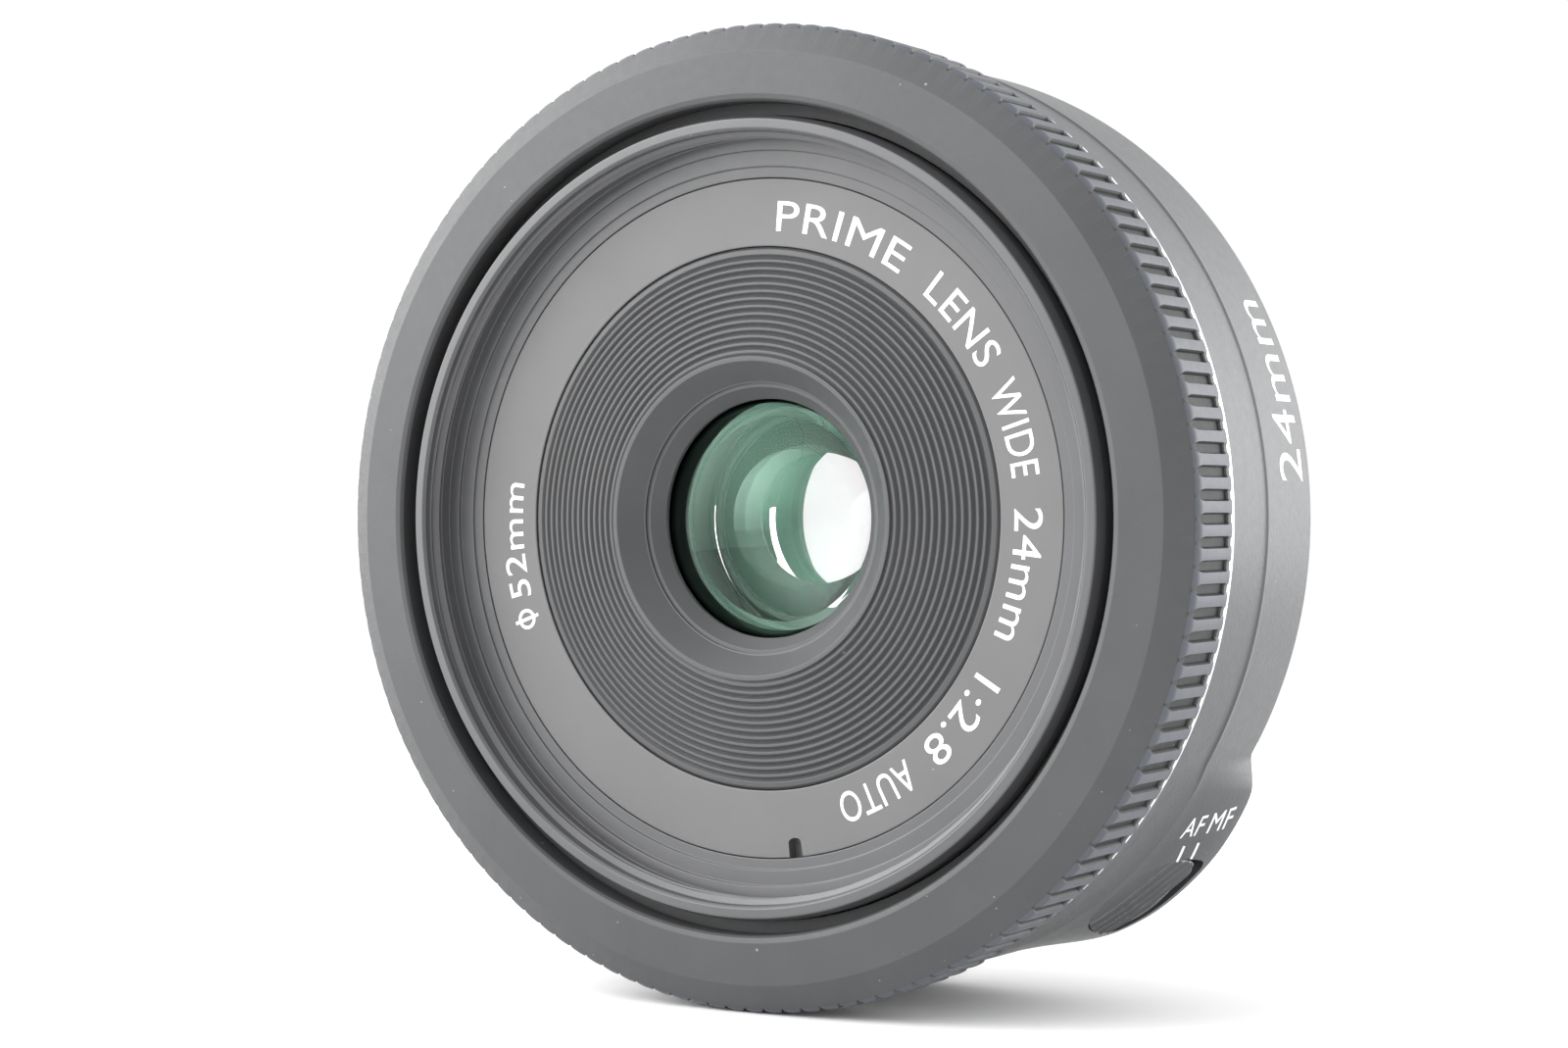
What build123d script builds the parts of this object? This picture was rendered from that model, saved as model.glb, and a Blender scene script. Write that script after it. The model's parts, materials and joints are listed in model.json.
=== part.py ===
from build123d import *
import os
import math

# A flat (pancake) prime lens with a stepping focus motor, as separate pieces.
# Working frame while modelling: z runs along the optical axis towards the subject,
# z = 0 is the seating plane of the bayonet flange, x is to the right and y is up
# when the lens is seen from the front.  place() turns it into the row frame:
# +X right, +Z up, front towards -Y.

# ------------------------------------------------------------------ dimensions
front_z = 22.8                 # front plane above the flange seat
max_r = 34.1                   # largest radius, at the rear of the switch bulge

# focus ring
lip_r = 27.97                  # opening of the ring's front face
face_r = 31.36
rib_r = 33.35
rib_root_r = 33.00
land_r = 33.28                 # narrow land that closes the grooves at the rear
face_z = 22.41
bevel_z = 21.14
rib_z0, rib_z1 = 16.40, 21.25
rib_count = 140
rib_phase = 1.2                # degrees
ring_bore_r = 29.50
ring_rear_z = 14.20
trim_r, trim_z0, trim_z1 = 33.10, 14.85, 16.05
spigot_r = 31.40

# fixed barrel
barrel_r = 32.57
barrel_front_r = 32.25
barrel_wall = 0.85
barrel_z0, barrel_z1, ridge_z = 0.90, 14.60, 8.60
slot_mid = -52.8               # direction of the switch slot, degrees
slot_len, slot_w = 8.9, 4.4
slot_z = 4.1                   # centre of the switch slot above the flange seat
switch_travel = 1.2

# guide sleeve and inner barrel
sleeve_ri, sleeve_ro = 27.20, 29.42
sleeve_z0, sleeve_z1 = 3.40, 20.70
skirt_ri, skirt_ro = 26.30, 27.09
skirt_z0 = 8.0
thread_major_r, thread_minor_r = 26.00, 25.59
thread_z0 = 20.72
name_z = 19.50
name_ri, name_ro = 18.48, 23.07
plate_z0, plate_z1 = 17.40, 18.70
core_ri, core_ro = 13.50, 14.50
core_z0 = -3.6
focus_travel = 6.0
key_angles = (30.0, 150.0, 270.0)

# focus cam
cam_ri, cam_ro = 14.60, 17.50
cam_z0, cam_z1 = 4.40, 14.00
cam_turn = 100.0
follower_z = 6.20
follower_r = 0.60
follower_angles = (20.0, 140.0, 260.0)
gear_m = 0.30
cam_teeth = 130
pinion_teeth = 10
wheel_teeth = 22
flange_z0, flange_z1 = 14.0, 15.2
wheel_z0, wheel_z1 = 15.8, 16.8
gear_dir = 90.0                # where the reduction gear stands, degrees
motor_r_body = 3.0

# mount
mount_ri, mount_ro = 24.20, 31.00
bayonet_ri, bayonet_ro = 24.20, 25.70
lug_r = 26.95
lug_z0, lug_z1 = -3.90, -2.40
bayonet_z = -5.80
screw_pcd_r = 28.6
screw_angles = (85.0, 175.0, 265.0, 355.0)
contact_mid = -140.0
contact_count = 7

# iris
iris_blades_n = 7
iris_open_r = 4.25
blade_pivot_r = 10.0
blade_turn = 33.0
iris_m = 0.20
iris_sector_r = 10.4

# ------------------------------------------------------------------ helpers
os.makedirs("parts", exist_ok=True)
done = []


def place(s):
    return Rot(90, 0, 0) * s


def solids_of(s):
    if isinstance(s, (list, tuple)):
        out = []
        for q in s:
            out += solids_of(q)
        return out
    return list(s.solids())


def save(name, shape):
    ss = solids_of(shape)
    ss = [q for q in ss if q.volume > 1e-4]
    c = Compound(children=[Solid(q.wrapped) for q in ss]) if len(ss) > 1 else ss[0]
    export_step(place(c), f"parts/{name}.step")
    done.append((name, len(ss), sum(q.volume for q in ss)))


def rev(pts, a0=None, a1=None):
    """Turn a closed (r, z) outline about the axis, wholly or from angle a0 to a1."""
    f = make_face(Plane.XZ * Polyline(*pts, close=True))
    if a0 is None:
        return revolve(f, Axis.Z, 360)
    return Rot(0, 0, a0) * revolve(f, Axis.Z, a1 - a0)


def ring(ri, ro, z0, z1, a0=None, a1=None):
    if a0 is None:
        s = Pos(0, 0, z0) * extrude(Circle(ro), z1 - z0)
        if ri > 0:
            s -= Pos(0, 0, z0 - 1) * extrude(Circle(ri), z1 - z0 + 2)
        return s
    return rev([(ri, z0), (ro, z0), (ro, z1), (ri, z1)], a0, a1)


def disc(x, y, r, z0, z1):
    return Pos(x, y, z0) * extrude(Circle(r), z1 - z0)


def polar(r, a):
    t = math.radians(a)
    return r * math.cos(t), r * math.sin(t)


def post(r, a, rad, z0, z1):
    x, y = polar(r, a)
    return disc(x, y, rad, z0, z1)


def radial_pin(r0, r1, a, z, rad):
    """Cylinder whose axis runs outward from the optical axis."""
    x, y = polar(r0, a)
    pl = Plane(origin=(x, y, z), x_dir=(0, 0, 1), z_dir=(math.cos(math.radians(a)), math.sin(math.radians(a)), 0))
    return extrude(pl * Circle(rad), r1 - r0)


def block(r0, r1, a, w, z0, z1):
    """Box standing at angle a: radial from r0 to r1, w wide."""
    return Rot(0, 0, a) * (Pos((r0 + r1) / 2, 0, (z0 + z1) / 2) * Box(r1 - r0, w, z1 - z0))


def lens_z(R, r, z):
    """Height of a spherical surface of radius R (centre behind if positive) whose vertex is at z."""
    return z - (R - math.copysign(math.sqrt(R * R - r * r), R))


def element(zf, Rf, rf, zb, Rb, rb, r):
    """Glass element: front vertex zf, radius Rf, clear to rf; rear vertex zb, radius Rb, clear to rb (positive = bulges to the front)."""
    with BuildPart() as bp:
        with BuildSketch(Plane.XZ):
            with BuildLine():
                ThreePointArc((0, zf), (rf / 2, lens_z(Rf, rf / 2, zf)), (rf, lens_z(Rf, rf, zf)))
                ThreePointArc((0, zb), (rb / 2, lens_z(Rb, rb / 2, zb)), (rb, lens_z(Rb, rb, zb)))
                tail = [(rf, lens_z(Rf, rf, zf)), (r, lens_z(Rf, rf, zf)), (r, lens_z(Rb, rb, zb)), (rb, lens_z(Rb, rb, zb))]
                keep = [tail[0]]
                for p in tail[1:]:
                    if math.dist(p, keep[-1]) > 1e-6:
                        keep.append(p)
                Polyline(*keep)
                Line((0, zf), (0, zb))
            make_face()
        revolve(axis=Axis.Z)
    return bp.part


def gear_outline(teeth, m, add=0.80, ded=1.10, thick=0.40, steps=5, first=0, count=None):
    """Outline points of one gear: involute flanks, one tooth centred on angle 0.  thick = tooth share of the pitch."""
    rp = m * teeth / 2
    rb = rp * math.cos(math.radians(20))
    ra, rd = rp + add * m, rp - ded * m
    half = thick * math.pi / teeth          # half tooth angle at the pitch circle

    def inv(r):
        if r <= rb:
            return 0.0
        a = math.acos(rb / r)
        return math.tan(a) - a
    ip = inv(rp)
    rs = [max(rb, rd) + (ra - max(rb, rd)) * i / steps for i in range(steps + 1)]
    flank = [(r, half + ip - inv(r)) for r in rs]
    if rd < rb:
        flank = [(rd, flank[0][1] + 0.15 / teeth)] + flank
    out = []
    n = teeth if count is None else count
    for k in range(first, first + n):
        c = 2 * math.pi * k / teeth
        for r, h in flank:
            out.append((r * math.cos(c - h), r * math.sin(c - h)))
        for r, h in reversed(flank):
            out.append((r * math.cos(c + h), r * math.sin(c + h)))
    return out


def gear(teeth, m, z0, z1, bore=0, **kw):
    f = make_face(Polyline(*gear_outline(teeth, m, **kw), close=True))
    g = extrude(f, z1 - z0)
    g = Pos(0, 0, z0) * g
    if bore:
        g -= disc(0, 0, bore, z0 - 1, z1 + 1)
    return g


def screw_head(r, a, z, rad, h, shank, length, up=1):
    """Cross-head screw: head from z to z+up*h, shank the other way."""
    x, y = polar(r, a)
    z0, z1 = (z, z + h) if up > 0 else (z - h, z)
    s = disc(x, y, rad, z0, z1)
    top = z1 if up > 0 else z0
    d = 0.45 * h
    cz = top - d / 2 if up > 0 else top + d / 2
    for t in (45, 135):
        s -= Pos(x, y, cz) * (Rot(0, 0, t + a) * Box(rad * 1.15, rad * 0.26, d + 0.02))
    if length > 0:
        s += disc(x, y, shank, z - length, z + 0.02) if up > 0 else disc(x, y, shank, z - 0.02, z + length)
    return s


# ================================================================== FOCUS RING
focus_ring = rev([
    (lip_r, 20.90), (ring_bore_r, 20.90), (ring_bore_r, 15.07), (30.60, 15.07), (30.60, ring_rear_z),
    (spigot_r, ring_rear_z), (spigot_r, 16.05), (land_r - 0.06, 16.05), (land_r, 16.11), (land_r, 16.50), (rib_root_r, 16.56), (rib_root_r, 21.42),
    (face_r, face_z), (28.40, front_z), (28.12, 22.72), (lip_r, 22.50)])
ribs = []
pitch = 360.0 / rib_count
rib_w = 0.55 * pitch
rib = rev([(rib_root_r - 0.2, rib_z0), (rib_r, rib_z0), (rib_r, 20.80), (rib_r - 0.09, 21.05), (rib_root_r - 0.2, 21.40)], -rib_w / 2, rib_w / 2)
ribs = [Rot(0, 0, rib_phase + i * pitch) * rib for i in range(rib_count)]
focus_ring = focus_ring.fuse(*[s for r in ribs for s in r.solids()])
save("focus_ring", focus_ring)
save("silver_trim_ring", rev([(spigot_r, trim_z0), (trim_r - 0.12, trim_z0), (trim_r, trim_z0 + 0.12), (trim_r, trim_z1 - 0.12),
                              (trim_r - 0.12, trim_z1), (spigot_r, trim_z1)]))
comb = rev([(29.60, 13.20), (31.35, 13.20), (31.35, 14.20), (29.60, 14.20)])
comb += rev([(30.30, 11.60), (30.90, 11.60), (30.90, 13.25), (30.30, 13.25)])
cuts = [Rot(0, 0, i * 7.5) * (Pos(30.6, 0, 12.2) * Box(1.6, 1.9, 1.3)) for i in range(48)]
comb = comb.cut(*[s for c in cuts for s in c.solids()])
save("encoder_comb", comb)

# ================================================================== GUIDE SLEEVE
sleeve = rev([(sleeve_ri, 15.6), (sleeve_ri, sleeve_z1), (sleeve_ro, sleeve_z1), (sleeve_ro, 15.00), (30.35, 15.00),
              (30.35, 14.40), (sleeve_ro, 14.40), (sleeve_ro, sleeve_z0), (28.0, sleeve_z0), (28.0, 15.1)])
feet = ring(28.0, 30.9, sleeve_z0, 4.4)
for i in range(6):
    feet -= Rot(0, 0, 30 + 60 * i) * (Pos(30.6, 0, 3.9) * Box(2.2, 22.0, 1.2))
sleeve += feet
for a in key_angles:
    sleeve -= block(26.5, 29.9, a, 2.2, 7.4, 17.6)

# ================================================================== INNER (MOVING) BARREL
inner = rev([
    (skirt_ri, skirt_z0), (skirt_ro, skirt_z0), (skirt_ro, 21.70), (26.80, 22.65), (26.16, 22.65), (thread_major_r, 22.45),
    (thread_major_r, 22.10), (thread_minor_r, 21.95), (thread_minor_r, thread_z0), (25.82, thread_z0 - 0.14), (25.74, 20.00), (24.94, 19.95), (24.94, 19.70),
    (23.86, 19.70), (23.86, 19.52), (23.12, 19.52), (23.12, plate_z1), (15.40, plate_z1), (15.40, 17.93),
    (14.53, 17.93), (14.53, plate_z0), (25.2, plate_z0), (25.2, 18.2), (skirt_ri, 18.2)])
for a in key_angles:
    inner -= radial_pin(skirt_ri - 0.5, skirt_ro + 0.5, a, 9.7, 0.62)
save("inner_barrel", inner)
# plain stretch of the thread bore is exact at the minor radius

# name ring: glued flat ring in the recess, with its spanner notch
nm = rev([(name_ri, plate_z1), (name_ro, plate_z1), (name_ro, name_z), (name_ri, name_z)])
nm -= block(21.80, 23.6, 277.4, 1.0, plate_z1 - 0.1, name_z + 0.1)
save("name_ring", nm)

# ribbed light baffle and glass window ring
bpts = [(name_ri - 0.03, plate_z1), (name_ri - 0.03, 19.30), (name_ri - 0.22, 19.52), (name_ri - 0.55, 19.58)]
n_ridge = 13
r0b, r1b, z0b, z1b = 17.75, 11.05, 19.52, 20.62
for i in range(n_ridge):
    ra_ = r0b + (r1b - r0b) * i / n_ridge
    rb_ = r0b + (r1b - r0b) * (i + 1) / n_ridge
    za = z0b + (z1b - z0b) * i / n_ridge
    zb = z0b + (z1b - z0b) * (i + 1) / n_ridge
    bpts += [(ra_, za - 0.10), ((ra_ + rb_) / 2 + 0.06, zb + 0.08), ((ra_ + rb_) / 2 - 0.10, zb + 0.08)]
bpts += [(11.05, 20.66), (10.95, 20.84), (10.66, 20.84), (9.30, 19.42), (9.22, 19.42), (9.22, 19.22), (8.95, 19.22),
         (8.16, 18.30), (8.16, 18.02), (9.0, 18.02), (11.6, plate_z1)]
baffle = rev(bpts)
save("front_baffle", baffle)

# core tube that carries the optics
core = rev([(core_ri, core_z0), (core_ro, core_z0), (core_ro, 17.95), (15.37, 17.95), (15.37, 18.65), (12.6, 18.65), (12.6, 17.9),
            (core_ri, 17.9)])
for a in follower_angles:
    core -= radial_pin(core_ri - 1, core_ro + 1, a, follower_z, 0.40)
save("lens_core_tube", core)
fol = []
for a in follower_angles:
    f = radial_pin(core_ro, 17.30, a, follower_z, follower_r) + radial_pin(core_ri + 0.05, core_ro + 0.1, a, follower_z, 0.40)
    fol.append(f)
save("cam_followers", fol)
keys = []
for a in key_angles:
    k = block(skirt_ro, 29.0, a, 2.1, 8.2, 11.2)
    k += radial_pin(skirt_ri - 0.1, skirt_ro + 0.1, a, 9.7, 0.6)
    keys.append(k)
save("guide_keys", keys)

# ================================================================== OPTICS
e1 = dict(zf=19.30, Rf=25.0, rf=9.0, zb=17.90, Rb=11.0, rb=6.8, r=9.0)
e2 = dict(zf=16.40, Rf=16.0, rf=7.2, zb=13.00, Rb=-40.0, rb=7.2, r=7.4)
e3 = dict(zf=6.90, Rf=-14.0, rf=5.6, zb=6.00, Rb=14.0, rb=6.2, r=6.2)
e4 = dict(zf=6.00, Rf=14.0, rf=6.2, zb=2.60, Rb=-11.0, rb=5.6, r=6.2)
e5 = dict(zf=2.20, Rf=-30.0, rf=6.6, zb=-0.80, Rb=-14.0, rb=7.2, r=7.7)
e6 = dict(zf=-1.30, Rf=-20.0, rf=7.6, zb=-2.90, Rb=-60.0, rb=8.0, r=8.4)
for i, e in enumerate((e1, e2, e3, e4, e5, e6)):
    save(f"lens_element_{i + 1}", element(**e))

z1e = lens_z(25.0, 9.0, 19.30)
z1b = lens_z(11.0, 6.8, 17.90)
z2b = lens_z(-40.0, 7.2, 13.00)
front_cell = rev([(6.8, 12.5), (9.35, 12.5), (9.35, 17.15), (13.45, 17.15), (13.45, 17.85), (9.03, 17.85), (9.03, z1b), (7.43, z1b),
                  (7.43, z2b), (7.2, z2b), (7.2, 13.2), (6.8, 13.0)])
save("front_lens_cell", front_cell)
save("front_retaining_ring", rev([(8.32, 17.92), (8.32, 18.00), (9.00, 18.00), (9.00, z1e + 0.01), (8.98, z1e + 0.01)]))
z3f = lens_z(-14.0, 5.6, 6.90)
z5f = lens_z(-30.0, 6.6, 2.20)
z5b = lens_z(-14.0, 7.2, -0.80)
z6f = lens_z(-20.0, 7.6, -1.30)
z6b = lens_z(-60.0, 8.0, -2.90)
z4b = lens_z(-11.0, 5.6, 2.60)
rear_cell = rev([(5.7, 8.60), (5.7, z3f), (6.23, z3f), (6.23, z4b), (5.9, z4b), (5.9, 3.6), (6.7, z5f + 0.0), (7.73, z5f), (7.73, z5b), (7.2, z5b),
                 (7.2, z6f + 0.25), (7.7, z6f), (8.43, z6f), (8.43, -3.25), (13.45, -3.25), (13.45, -2.75), (9.4, -2.75), (9.4, 7.0),
                 (13.45, 7.0), (13.45, 8.60)])
save("rear_lens_cell", rear_cell)
save("rear_retaining_ring", rev([(7.55, -3.20), (8.40, -3.20), (8.40, z6b), (8.02, z6b), (7.55, z6b - 0.15)]))

# ================================================================== IRIS
base_plate = rev([(5.2, 8.90), (13.45, 8.90), (13.45, 11.55), (12.48, 11.55), (12.48, 9.50), (5.2, 9.50)])
level0, level_step, blade_t = 9.58, 0.11, 0.07
iris_ring_turn = 30.0
drive0 = (blade_pivot_r - 0.10, 2.40)
for i in range(iris_blades_n):
    x, y = polar(blade_pivot_r, i * 360 / iris_blades_n)
    base_plate -= disc(x, y, 0.44, 8.0, 9.7)
save("iris_base_plate", base_plate)


def arc_pts(r, a0, a1, n):
    return [polar(r, a0 + (a1 - a0) * k / n) for k in range(n + 1)]


def flat(pts, z0, z1):
    return Pos(0, 0, z0) * extrude(make_face(Polyline(*pts, close=True)), z1 - z0)


px, py = blade_pivot_r, 0.0
for i in range(iris_blades_n):
    z = level0 + level_step * i
    outer = arc_pts(7.6, -98, -9, 22)
    ear = [(8.4, -1.0), (9.6, -0.92), (10.6, -0.75), (10.92, 0.25), (drive0[0] + 0.62, drive0[1] + 0.15), (drive0[0] - 0.2, drive0[1] + 0.62),
           (9.35, 2.75), (8.3, 1.45), (7.2, 0.95)]
    inner_edge = arc_pts(4.40, 5, -98, 24)
    tip = polar(6.0, -103)
    b = flat(outer + ear + inner_edge + [tip], z, z + blade_t)
    b += disc(px, py, 0.40, 8.98, z + blade_t)
    b += disc(drive0[0], drive0[1], 0.36, z, 10.86)
    save(f"iris_blade_{i + 1}", Rot(0, 0, i * 360 / iris_blades_n) * b)

# drive ring: cam slots give every blade the same constant ratio to the ring
ratio_blade = -22.0 / iris_ring_turn
drive_ring = ring(9.30, 12.40, 10.40, 10.88)
centre = []
for k in range(-1, 14):
    g = iris_ring_turn * k / 12
    be = math.radians(ratio_blade * g)
    vx, vy = drive0[0] - px, drive0[1] - py
    qx, qy = px + vx * math.cos(be) - vy * math.sin(be), py + vx * math.sin(be) + vy * math.cos(be)
    t = math.radians(-g)
    centre.append((qx * math.cos(t) - qy * math.sin(t), qx * math.sin(t) + qy * math.cos(t)))
hw = 0.42
side_a, side_b = [], []
for k in range(len(centre)):
    p0, p1 = centre[max(0, k - 1)], centre[min(len(centre) - 1, k + 1)]
    dx, dy = p1[0] - p0[0], p1[1] - p0[1]
    L = math.hypot(dx, dy)
    nx, ny = -dy / L, dx / L
    side_a.append((centre[k][0] + nx * hw, centre[k][1] + ny * hw))
    side_b.append((centre[k][0] - nx * hw, centre[k][1] - ny * hw))
slot_cut = flat(side_a + side_b[::-1], 10.2, 11.0)
for i in range(iris_blades_n):
    drive_ring -= Rot(0, 0, i * 360 / iris_blades_n) * slot_cut
iris_motor_dir = 25.0
sector_teeth = round(2 * iris_sector_r / iris_m)
n_sec = 13
sec_pts = gear_outline(sector_teeth, iris_m, first=-n_sec + 1, count=n_sec + 1, thick=0.38)
span0 = math.degrees(2 * math.pi * (-n_sec + 0.5) / sector_teeth)
span1 = math.degrees(2 * math.pi * 1.5 / sector_teeth)
sec_pts = sec_pts + arc_pts(9.35, span1, span0, 16)
drive_ring += Rot(0, 0, iris_motor_dir) * flat(sec_pts, 10.86, 11.52)
save("iris_drive_ring", drive_ring)
cover = ring(7.0, 13.42, 11.62, 11.92)
mx, my = polar(iris_sector_r + 1.0, iris_motor_dir)
cover -= disc(mx, my, 0.55, 11.0, 12.5)
save("iris_cover_plate", cover)
save("iris_plate_screws", [screw_head(10.6, a, 11.93, 0.55, 0.35, 0.25, 0.0) for a in (100, 220, 320)])
im = disc(mx, my, 1.95, 11.93, 16.9) - disc(mx, my, 0.30, 11.0, 13.0)
save("iris_motor", im)
ip = gear(10, iris_m, 10.93, 11.56, thick=0.38)
ip = Rot(0, 0, 18) * ip + disc(0, 0, 0.25, 11.5, 12.8)
save("iris_motor_pinion", Pos(mx, my, 0) * (Rot(0, 0, iris_motor_dir) * ip))

# ================================================================== FOCUS CAM AND DRIVE
cam = ring(cam_ri, cam_ro, cam_z0, flange_z0 + 0.4)
gear_f = gear(cam_teeth, gear_m, flange_z0, flange_z1, bore=cam_ri, thick=0.42, steps=3)
cam = gear_f + cam
for a in follower_angles:
    cutters = []
    seg = 10.0
    k0 = -0.35
    n_seg = int(cam_turn / seg) + 1
    for k in range(n_seg):
        lo, hi = (k - 0.5) * seg, (k + 0.5) * seg
        if k == 0:
            lo = -3.4
        if k == n_seg - 1:
            hi = cam_turn + 3.4
        mid = k * seg
        slope = focus_travel / cam_turn          # mm per degree
        # the pin stands still in angle while the cam turns: the slot runs backwards round the cam
        pl = Plane(origin=(0, 0, 0), x_dir=(-math.sin(math.radians(a - mid)), math.cos(math.radians(a - mid)), 0),
                   z_dir=(math.cos(math.radians(a - mid)), math.sin(math.radians(a - mid)), 0))
        rm = 16.2

        def xz(d):
            return -rm * math.tan(math.radians(d - mid)), follower_z + slope * min(max(d, 0), cam_turn)
        e = 0.25
        x0_, za_ = xz(lo - e)
        x1_, zb_ = xz(hi + e)
        h = follower_r + 0.115
        cutters.append(extrude(Plane(origin=pl.origin + pl.z_dir * 13.8, x_dir=pl.x_dir, z_dir=pl.z_dir) *
                               make_face(Polyline((x0_, za_ - h), (x1_, zb_ - h), (x1_, zb_ + h), (x0_, za_ + h), close=True)), 5.0))
    cam = cam.cut(*[q for c in cutters for q in c.solids()])
cam += ring(19.3, 20.7, 14.15, 14.55, 203.5, 206.5)
save("cam_ring", cam)

housing = rev([(17.58, sleeve_z0), (18.9, sleeve_z0), (18.9, 4.3), (18.55, 4.6), (18.55, 13.88), (17.58, 13.88)])
save("cam_ring_housing", housing)
clips = []
for a in (30, 150, 320):
    c = ring(18.60, 20.95, 12.9, 13.85, a - 5, a + 5) + ring(20.25, 20.95, 13.8, 15.9, a - 5, a + 5) + ring(18.75, 20.95, 15.32, 15.9, a - 5, a + 5)
    clips.append(c)
save("cam_ring_clips", clips)

comp_r = gear_m * (cam_teeth + pinion_teeth) / 2
mot_c = gear_m * (wheel_teeth + pinion_teeth) / 2
mot_r = 22.0
cosd = (comp_r ** 2 + mot_r ** 2 - mot_c ** 2) / (2 * comp_r * mot_r)
motor_dir = gear_dir + math.degrees(math.acos(cosd))
gx, gy = polar(comp_r, gear_dir)
qx_, qy_ = polar(mot_r, motor_dir)
to_motor = math.degrees(math.atan2(qy_ - gy, qx_ - gx))
# phases: a tooth space of each driven pinion faces the tooth of its mate
cam_phase = (gear_dir / (360.0 / cam_teeth)) % 1.0          # share of a pitch between the tooth at 0 and the gear direction
pin_half = 180.0 / pinion_teeth
pinion_rot = gear_dir + 180 + pin_half + cam_phase * (360.0 / pinion_teeth)
red = Rot(0, 0, pinion_rot) * gear(pinion_teeth, gear_m, 14.05, 15.25, thick=0.40)
red += disc(0, 0, 1.0, 15.2, 15.85)
red += Rot(0, 0, to_motor) * gear(wheel_teeth, gear_m, wheel_z0, wheel_z1, thick=0.42)
red -= disc(0, 0, 0.42, 13, 18)
save("reduction_gear", Pos(gx, gy, 0) * red)
save("gear_shaft", disc(gx, gy, 0.36, 13.55, 16.95) + disc(gx, gy, 0.62, 16.95, 17.15))
ms = Rot(0, 0, to_motor + 180 + pin_half) * gear(pinion_teeth, gear_m, wheel_z0, wheel_z1, thick=0.40)
ms += disc(0, 0, 0.42, 12.6, 17.0)
save("motor_shaft", Pos(qx_, qy_, 0) * ms)
motor = disc(qx_, qy_, motor_r_body, 3.42, 13.55) + disc(qx_, qy_, 0.95, 13.5, 14.3)
motor -= disc(qx_, qy_, 0.47, 12.5, 15.0)
motor -= ring(0, 40, 8.2, 8.5) & (Pos(qx_, qy_, 8.35) * (Box(8, 8, 0.3) - Cylinder(2.75, 2)))
save("stepper_motor", motor)
br_mid = (gear_dir + motor_dir) / 2 + 1
bracket = block(18.62, 25.8, br_mid, 9.6, 13.57, 13.95)
bracket -= disc(qx_, qy_, 0.97, 13, 15)
bracket -= disc(gx, gy, 0.37, 13, 15)
for t in (br_mid - 14.5, br_mid + 16.5):
    bracket += block(21.6, 23.6, t, 1.0, 3.42, 13.95)
bracket += block(21.6, 23.6, br_mid - 12, 4.6, 13.57, 13.95) + block(21.6, 23.6, br_mid + 13.4, 5.4, 13.57, 13.95)
bracket -= disc(0, 0, 20.2, 13.97, 15)
bracket -= disc(qx_, qy_, 0.97, 13, 15)
save("motor_bracket", bracket)
hs = ring(18.62, 22.4, 12.7, 13.75, 200, 210) + ring(21.2, 22.4, 13.7, 15.7, 200, 210) + ring(19.95, 22.4, 14.95, 15.7, 200, 210)
save("home_sensor", hs)

# ================================================================== CHASSIS, BOARDS
chassis = ring(14.95, 31.65, 1.80, 3.40)
chassis -= ring(29.4, 33.0, 1.0, 3.6, slot_mid - 13.5, slot_mid + 13.5)
for i in range(6):
    x, y = polar(30.15, 60 * i)
    chassis -= disc(x, y, 0.54, 2.2, 4.0)
for a in screw_angles:
    x, y = polar(screw_pcd_r, a)
    chassis -= disc(x, y, 0.70, 1.0, 4.0)
for a in (20, 65, 125, 200, 245, 300, 335):
    chassis -= Rot(0, 0, a) * (Pos(23.6, 0, 2.6) * Box(4.2, 5.6, 3.0))
save("chassis", chassis)
for i in range(6):
    x, y = polar(30.15, 60 * i)
    sleeve -= disc(x, y, 0.36, 3.0, 5.0)
save("guide_sleeve", sleeve)
save("sleeve_screws", [screw_head(30.15, 60 * i, 4.41, 0.62, 0.45, 0.32, 2.1) for i in range(6)])
board = ring(15.8, 23.8, 0.75, 1.55, 0, 312)
save("main_board", Rot(0, 0, -110) * board)
chips = []
for a, r, w, l, h in ((-80, 19.6, 4.2, 4.2, 0.55), (-45, 20.2, 3.0, 4.6, 0.5), (-15, 19.4, 3.4, 3.4, 0.5), (12, 20.6, 1.6, 2.4, 0.4), (28, 19.0, 2.0, 1.4, 0.4),
                      (50, 20.0, 5.0, 5.0, 0.55), (80, 19.8, 2.4, 3.4, 0.45), (100, 20.8, 1.5, 1.5, 0.4), (120, 19.6, 3.6, 2.6, 0.5), (145, 20.4, 1.2, 2.2, 0.35),
                      (165, 19.6, 3.0, 3.0, 0.5), (185, 20.8, 1.4, 1.4, 0.35)):
    chips.append(block(r - w / 2, r + w / 2, a, l, 0.75 - h, 0.75))
save("board_chips", chips)
flex = block(22.3, 22.6, contact_mid, 7.6, -2.0, 0.40) + block(21.0, 22.6, contact_mid, 7.6, 0.38, 0.74)
save("contact_flex", flex)
sens = []
for a in (26.0, 34.0):
    sens.append(ring(29.50, 31.60, 9.6, 10.85, a - 2.4, a + 2.4) + ring(29.50, 30.14, 10.8, 12.98, a - 2.4, a + 2.4) +
                ring(31.04, 31.60, 10.8, 12.98, a - 2.4, a + 2.4) + ring(30.1, 30.5, 3.42, 9.65, a - 1.6, a + 1.6))
save("photo_interrupters", sens)

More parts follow.
